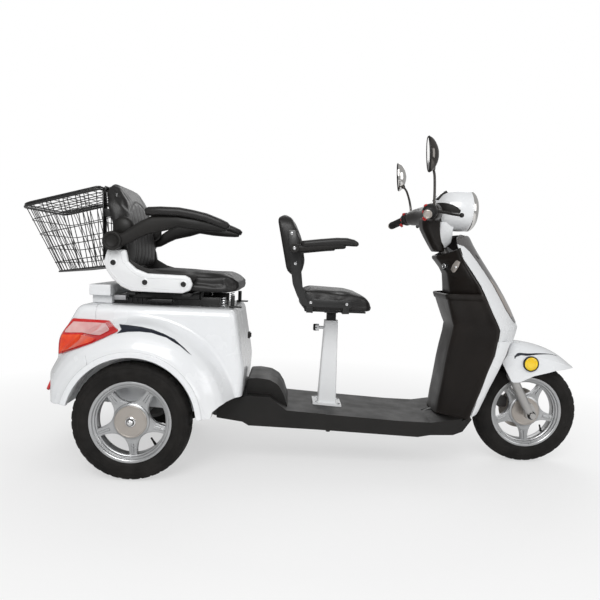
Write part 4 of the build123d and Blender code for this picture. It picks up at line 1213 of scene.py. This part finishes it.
# Height, rear x, front x, half width
NECK_ROWS = [(834, 478, 496, 34), (838, 477, 501, 38), (857, 474, 519, 44), (880, 470, 521, 50), (905, 466, 520, 56),
             (935, 466, 530, 60)]
TOWER_ROWS = [(821, 457, 492, 34), (823, 454, 495, 38), (850, 437, 491, 42), (880, 420, 487, 47), (907, 406, 482, 52),
              (930, 402, 477, 55), (950, 405, 473, 56)]


def build_headlamp():
    path = curve([(x, half_w, (low + high) / 2) for x, half_w, low, high in LAMP_ROWS], 4)
    heights = curve([(x, 0, (high - low) / 2) for x, half_w, low, high in LAMP_ROWS], 4)
    angles = [2 * math.pi * k / 64 for k in range(64)]
    rings = []
    for spot, tall in zip(path, heights):
        rings.append([(spot.x, spot.y * math.cos(a), spot.z + tall.z * math.sin(a)) for a in angles])
    neck = []
    for z, x0, x1, wide in NECK_ROWS:
        plan = rounded([(x0, -wide), (x1, -wide * 0.8), (x1, wide * 0.8), (x0, wide)], 8, 5)
        neck.append([(x, y, z) for x, y in plan])
    shell = place("headlamp_shell", joined(skin(rings), skin(neck)), "white_panel", "steering", ["headlamp_housing"],
                  sharp=60)
    ring = [(86.5, 0), (88.5, 3), (87.5, 8), (83, 15), (76, 21), (67, 26), (60, 28), (57, 26), (60, 20), (74, 10),
            (82, 3)]
    ring = moved(ring_form(ring, 96), at(581.5, 0, 983.5, turn_z=-90) @ Matrix.Diagonal((1, 1, 0.905, 1)))
    place("headlamp_bezel", ring, "chrome_warm", "steering", ["headlamp_ring"], slot="chrome")
    ahead = at(582, 0, 983, turn_z=-90)
    dome = [(0, 37), (20, 36), (38, 33), (50, 29.5), (57.5, 25.5), (58, 22.5), (55, 22.5), (48, 26), (36, 29.5),
            (18, 32.5), (0, 33.5)]
    place("headlamp_glass", moved(turned(dome, 72), ahead), "clear_lens", "steering", ["headlamp_lens"])
    bowl = [(60, 14), (50, 6), (34, -2), (18, -6), (0, -7), (0, -9), (20, -8), (36, -4), (52, 4), (62, 14)]
    place("headlamp_bowl", moved(turned(bowl), ahead), "chrome", "steering")
    bulb = turned([(0, -6), (9, -6), (9, 4), (7, 12), (6, 20), (3, 24), (0, 24.5)], 32)
    place("headlamp_bulb", moved(bulb, ahead), "lamp_bulb", "steering", slot="clear_lens")
    visor = prism(rounded([(452, 1022), (470, 1042), (487, 1056), (493, 1050), (495, 1036), (462, 1016)], 3), -40, 40)
    place("dash_visor", visor, "black_plastic", "steering", bevel=3)
    to_rider = facing((451, 0, 1004), (-0.62, 0, 0.78))
    panel = turned([(0, 0), (30, 0), (32, 4), (30, 8), (0, 8)], 48)
    place("dash_panel", moved(panel, to_rider), "black_frame", "steering", slot="black_plastic")
    glass = turned([(0, 8), (26, 8), (26, 9), (0, 10)], 48)
    place("dash_glass", moved(glass, to_rider), "smoked_lens", "steering", slot="clear_lens")
    for side, word in SIDES:
        # A black sheet laid on the shell's sides where the lever recess is: painted shade of the hollow.
        recess_shade = wrap([(452, 1006), (480, 1004), (510, 994), (532, 978)], [(452, 962), (480, 966), (510, 968), (530, 966)],
                   [shell], 1.0, side=side)
        place("lever_recess_shade_" + word, walled("recess", recess_shade, 1.0), "black_plastic", "steering")


# Place, direction and radius
SWITCHES = {"upper": ((374, 198, 979), (-0.3, 0, 0.9), 7), "rear": ((366, 205, 955), (-1, 0, 0), 6),
            "lower": ((368, 212, 931), (-0.7, 0.2, -0.7), 8)}


def build_handlebar():
    column = []
    for z, x0, x1, wide in TOWER_ROWS:
        half = [(x0, -wide * 0.6), (x0 + 20, -wide), (x1, -wide)]
        plan = rounded(half + [(x, -y) for x, y in reversed(half)], 18)
        column.append([(x, y, z) for x, y in plan])
    path = curve([(399, -178, 960), (404, -165, 961), (420, -120, 964), (434, -60, 966), (438, 0, 967), (434, 60, 966),
                  (420, 120, 964), (404, 165, 961), (399, 178, 960)], 6)
    hood = sweep(path, lambda t: 23 + 13 * (1 - abs(2 * t - 1) ** 3), 40)
    place("column_cover", joined(skin(column), hood), "shield_plastic", "steering", ["handlebar_cover"],
          slot="black_plastic", sharp=50, bevel=1)
    for side, word in SIDES:
        inner, outer = Vector((382.5, 222, 955.8)), Vector((350, 336, 937))
        run = outer - inner
        ribs = [(11.2, 0), (20, 0), (20.5, 2.5), (18, 4), (16, 6)]
        for k in range(16):
            y = 9 + k * 6.2
            ribs += [(15.2, y), (15.9, y + 1), (15.9, y + 3.6), (15.2, y + 4.6)]
        ribs += [(16.3, 111), (16.3, 117), (15, 119), (11.2, 119)]
        grip = moved(ring_form(ribs, 40), facing(inner, run))
        place("grip_" + word, sided(grip, side), "grip_rubber", "steering", ["hand_grips"] if side < 0 else ())
        end = turned([(0, 0), (11, 0), (14.5, 1), (15.2, 4), (14, 7), (11.5, 8.5), (10.5, 7), (7, 6.4), (0, 6.4)], 40)
        end = moved(end, facing(outer + run.normalized() * 3, run))
        place("bar_end_" + word, sided(end, side), "brushed_disc", "steering", slot="chrome", sharp=25)
        collar = moved(ring_form([(22, -3), (26.5, -3), (27.5, 0), (26.5, 3), (22, 3)], 40),
                       facing((389, 202, 958.5), (-0.27, 0.96, -0.05)))
        place("switch_collar_" + word, sided(collar, side), "black_frame", "steering", slot="black_plastic")
        for name, (spot, aim, size) in SWITCHES.items():
            knob = turned([(0, -6), (size, -6), (size, 2.5), (size * 0.7, 4.5), (0, 5)], 24)
            place(f"switch_{name}_{word}", sided(moved(knob, facing(spot, aim)), side), "button_red", "steering",
                  slot="lamp_red")
        build_mirror(side, word)


MIRROR_FACE = [(-10, 57), (8, 59), (24, 46), (35, 22), (38, -4), (33, -30), (20, -52), (4, -60), (-12, -56), (-26, -38),
               (-34, -12), (-33, 18), (-25, 42)]


def build_mirror(side, word):
    """A pear-shaped head: a glass in a dark rim, and a bright bulging back. The right back is given dark chrome, a
    painted dark reflection. The left one is turned outwards.
    """
    stem = sweep(curve([(403, 196, 976), (403, 200, 1000), (398, 216, 1040), (389, 240, 1080), (379, 258, 1100)], 6),
                 lambda t: 5.0 - 0.6 * t, 14)
    joint = moved(turned([(0, -9), (7, -9), (8.5, 0), (7, 9), (0, 9)], 28), facing((377, 262, 1104), (-0.3, 0.5, 0.8)))
    nut = moved(hex_bolt(7, 10), facing((403, 197, 976), (0, 0, 1)))
    place("mirror_stem_" + word, sided(joined(stem, joint, nut), side), "chrome_dark", "steering",
          ["mirrors"] if side < 0 else (), slot="black_frame")
    face = curve([(y, 0, z) for y, z in MIRROR_FACE], 5, True)
    turn = at(357, 276, 1145, turn_z=-16 if side > 0 else 4) @ Matrix.Rotation(math.radians(-4), 4, "Y")
    rings = []
    for depth, scale in ((0, 1.0), (3, 1.01), (8, 0.97), (15, 0.87), (22, 0.71), (28, 0.51), (32, 0.30), (34, 0.08)):
        rings.append([(depth, p.x * scale, p.z * scale) for p in face])
    # The right mirror back gets the dark chrome and the left one the bright chrome: the dark right back is painted dark
    # reflection, not another finish.
    place("mirror_back_" + word, sided(moved(skin(rings), turn), side), "chrome_dark" if side < 0 else "chrome_warm",
          "steering", slot="chrome", sharp=60)
    rim = [[(d, p.x * k, p.z * k) for p in face] for d, k in ((-3, 1.0), (-4, 0.965), (-1, 0.94), (2, 1.03))]
    place("mirror_rim_" + word, sided(moved(skin(rim, loop=True), turn), side), "black_plastic", "steering")
    glass = [[(d, p.x * 0.95, p.z * 0.95) for p in face] for d in (-2.4, -1.0)]
    place("mirror_glass_" + word, sided(moved(skin(glass), turn), side), "chrome_dark", "steering", slot="chrome")


# Seat frames and springs

CHEEK = [(-741, 778), (-752, 735), (-742, 705), (-722, 677), (-690, 650), (-654, 635), (-560, 634), (-476, 634),
         (-450, 645), (-441, 667), (-450, 688), (-468, 697), (-540, 698), (-600, 699), (-640, 714), (-668, 738),
         (-676, 779)]
CHEEK_LINE = [(-727, 770), (-735, 728), (-722, 696), (-690, 668), (-650, 650), (-560, 648), (-478, 648), (-458, 660),
              (-460, 676), (-476, 683), (-560, 684), (-616, 686), (-658, 708), (-684, 738), (-692, 770)]


CHEEK_BOLTS = ((-718, 733), (-607, 668), (-472, 666))
LINING = [(-738, 776), (-746, 735), (-718, 680), (-652, 640), (-480, 640), (-450, 667), (-420, 700), (-560, 704),
          (-626, 722), (-668, 745), (-676, 790)]


def build_seat_frame():
    cheek = prism(rounded(CHEEK, 10, 5), 214, 235.5)
    place("seat_brackets", both(cheek), "white_metal", "main_seat", ["seat_frame"], sharp=50, bevel=6)
    line = curve([(x, 235.2, z) for x, z in CHEEK_LINE])
    place("seat_bracket_ribs", both(sweep(line, 1.6, 8)), "white_metal", "main_seat", sharp=60)
    boss = turned([(0, 0), (15, 0), (15, 0.8), (13, 2), (0, 2)], 32)
    bosses = [moved(boss, at(x, 235, z)) for x, z in CHEEK_BOLTS]
    place("seat_bracket_bosses", both(joined(*bosses)), "white_metal", "main_seat")
    bolts = [moved(cap_screw(9.5, 5), at(x, 236, z)) for x, z in CHEEK_BOLTS]
    place("seat_bracket_bolts", both(joined(*bolts)), "black_frame", "main_seat", slot="axle_metal")
    place("seat_linings", both(prism(rounded(LINING, 8), 207, 213.5)), "black_plastic", "main_seat", bevel=1.5)
    bars = [both(block((-690, -430), (113, 133), (600, 628))), both(block((-737, -727), (150, 170), (700, 980))),
            both(block((-732, -698), (206, 214), (742, 824))), sweep([(-732, -214, 740), (-732, 214, 740)], 9, 20),
            both(sweep([(-715, 206, 808), (-715, 262, 808)], 8, 20)), both(block((-430, -418), (120, 126), (600, 640)))]
    bars += [block((x, x + 30), (-214, 214), (622, 633)) for x in (-675, -480)]
    place("seat_bars", joined(*bars), "black_frame", "main_seat", bevel=1.2)
    shroud = turned([(0, -18), (26, -18), (34, -12), (38, 0), (34, 10), (24, 16), (0, 18)], 48)
    shroud = moved(shroud, at(-690, 212, 858, turn_y=20))
    place("shoulder_caps", both(shroud), "black_plastic", "main_seat", sharp=70)
    lever = [(-610, -140, 600), (-612, -165, 602), (-600, -186, 604), (-560, -190, 604), (-520, -190, 604)]
    sleeve = sweep([(-590, -189, 604), (-518, -190, 604)], 7.5, 16)
    place("slide_lever", joined(sweep(curve(lever), 5, 12), sleeve), "black_frame", "main_seat")
    slab = joined(block((-816, -740), (-190, 190), (613, 652)), block((-812, -742), (-165, 165), (584, 613)))
    place("seat_plinth_slab", slab, "white_panel", "chassis", ["seat_plinth"], bevel=3)
    packing = block((-732, -690), (146, 172), (598, 615))
    place("seat_plinth_packing", both(packing), "motor_case", "chassis", bevel=1.5)
    rods = [sweep([(-306, y, 582), (-306, y, 628)], 7.5, 16) for y in (-150, 150)]
    hinge = [both(block((-318, -272), (136, 164), (583.5, 589))), both(block((-420, -350), (141, 158), (584, 618)))]
    place("seat_hinge", joined(*rods, *hinge), "black_frame", "chassis", bevel=0.8)
    spring = [(-338 + 8 * math.cos(k / 3), -158 + 8 * math.sin(k / 3), 586 + k * 0.45) for k in range(76)]
    place("hinge_spring", both(sweep(spring, 1.8, 8)), "chrome", "chassis")


COIL_TURNS, COIL_STEPS = 6, 24


def build_rear_springs():
    foot, top = Vector((-650, 190, 226)), Vector((-690, 190, 400))
    run = top - foot
    across = run.normalized().orthogonal().normalized()
    other = run.normalized().cross(across)
    path = []
    for k in range(COIL_TURNS * COIL_STEPS + 1):
        a = 2 * math.pi * k / COIL_STEPS
        along = 0.1 + 0.8 * k / (COIL_TURNS * COIL_STEPS)
        path.append(foot + run * along + (across * math.cos(a) + other * math.sin(a)) * 22)
    place("rear_coils", both(sweep(path, 4)), "spring_metal", "chassis", ["rear_springs"])
    eye = turned([(0, -12), (14, -12), (14, 12), (0, 12)], 24)
    damper = joined(sweep([foot, top], 9, 20), sweep([foot, foot + run * 0.5], 13, 24), moved(eye, at(*foot)),
                    moved(eye, at(*top)))
    place("rear_dampers", both(damper), "axle_metal", "chassis", bevel=1)


# Strap up the side of the child's seat: x, z, corner radius
STRAP = [(-114, 874, 8), (-84, 874, 8), (-70, 820, 30), (-57, 710, 40), (-52, 668, 30), (-38, 643, 30), (-12, 630, 20),
         (60, 627, 40), (124, 626, 8), (132, 612, 8), (126, 600, 8), (-34, 600, 20), (-54, 608, 20), (-71, 637, 30),
         (-89, 680, 30), (-94, 712, 30), (-106, 800, 40)]


def build_child_seat():
    strap = rounded([row[:2] for row in STRAP], [row[2] for row in STRAP], 5)
    frame = [both(prism(strap, 176, 181)), block((51, 87), (-18, 18), (300, 578)), block((40, 92), (-28, 28), (566, 576)),
             block((-40, 190), (-110, 110), (576, 582)), both(sweep([(-88, 176, 808), (-88, 244, 808)], 8, 20))]
    for x in (-36, 96):
        frame += [block((x, x + 24), (-176, 176), (578, 583)), both(block((x, x + 24), (176, 180), (578, 604)))]
    place("child_seat_straps", joined(*frame), "black_frame", "child_seat", ["child_seat_frame"], bevel=1.2)
    screws = [moved(cap_screw(6, 4), at(x, 181, z)) for x, z in ((-21, 616), (110, 614), (-82, 754), (-99, 861))]
    place("child_frame_bolts", both(joined(*screws)), "chrome", "child_seat")
    knob = turned([(0, -8), (13, -8), (15, -5), (15, 5), (13, 8), (0, 8)], 6)
    place("post_knob", moved(knob, at(8, 0, 505, turn_z=90)), "black_plastic", "chassis", bevel=2)
    bolts = [moved(hex_bolt(6, 6), facing((x, y, z), (0, 0, 1))) for x, z in ((24, 213), (108, 208)) for y in (-42, 42)]
    place("post_bolts", joined(*bolts), "chrome", "chassis")


def build_small_parts():
    nut = moved(hex_bolt(11, 11), at(FRONT_X, 84, AXLE_Z))
    place("front_axle_nuts", both(nut), "black_frame", "steering", slot="axle_metal")
    clamp = [(FRONT_X + x, AXLE_Z + z) for x, z in ((-22, 44), (-16, -8), (2, -20), (18, -10), (14, 26), (0, 46))]
    place("fork_clamps", both(prism(rounded(clamp, 6), 62, 84)), "fork_silver", "steering", bevel=2)
    latch = [block((-247, -238), (-150, -132), (472, 496)), block((-240, -234), (-146, -136), (476, 492))]
    place("body_latch", joined(*latch), "black_plastic", "chassis", bevel=1.5)
    reflector = prism(rounded([(-152, 250), (-84, 250), (-84, 300), (-152, 306)], 14), 0, 9, "X")
    reflector = moved(reflector, at(-972, 0, 280, turn_y=23) @ at(0, 0, -280))
    place("rear_reflectors", both(reflector), "lamp_red", "chassis", bevel=2)
    skirt = [(440, 139), (527, 142), (562, 156), (595, 204), (585, 213), (552, 192), (500, 190), (440, 184)]
    skirt = prism(rounded(skirt, [0, 12, 10, 6, 6, 20, 20, 0]), 150, 177.5)
    place("deck_ends", both(skirt), "black_plastic", "chassis", bevel=2)
    foot = turned([(0, -6), (8, -6), (8, 6), (0, 6)], 6)
    place("deck_bolt", moved(foot, facing((64, -150, 139), (0, 0, -1))), "axle_metal", "chassis")


build_rear_body()
build_wheels()
build_cushions()
build_arms()
build_basket()
build_leg_shield()
build_front_cover()
build_fender_trim()
build_headlamp()
build_handlebar()
build_seat_frame()
build_rear_springs()
build_child_seat()
build_small_parts()
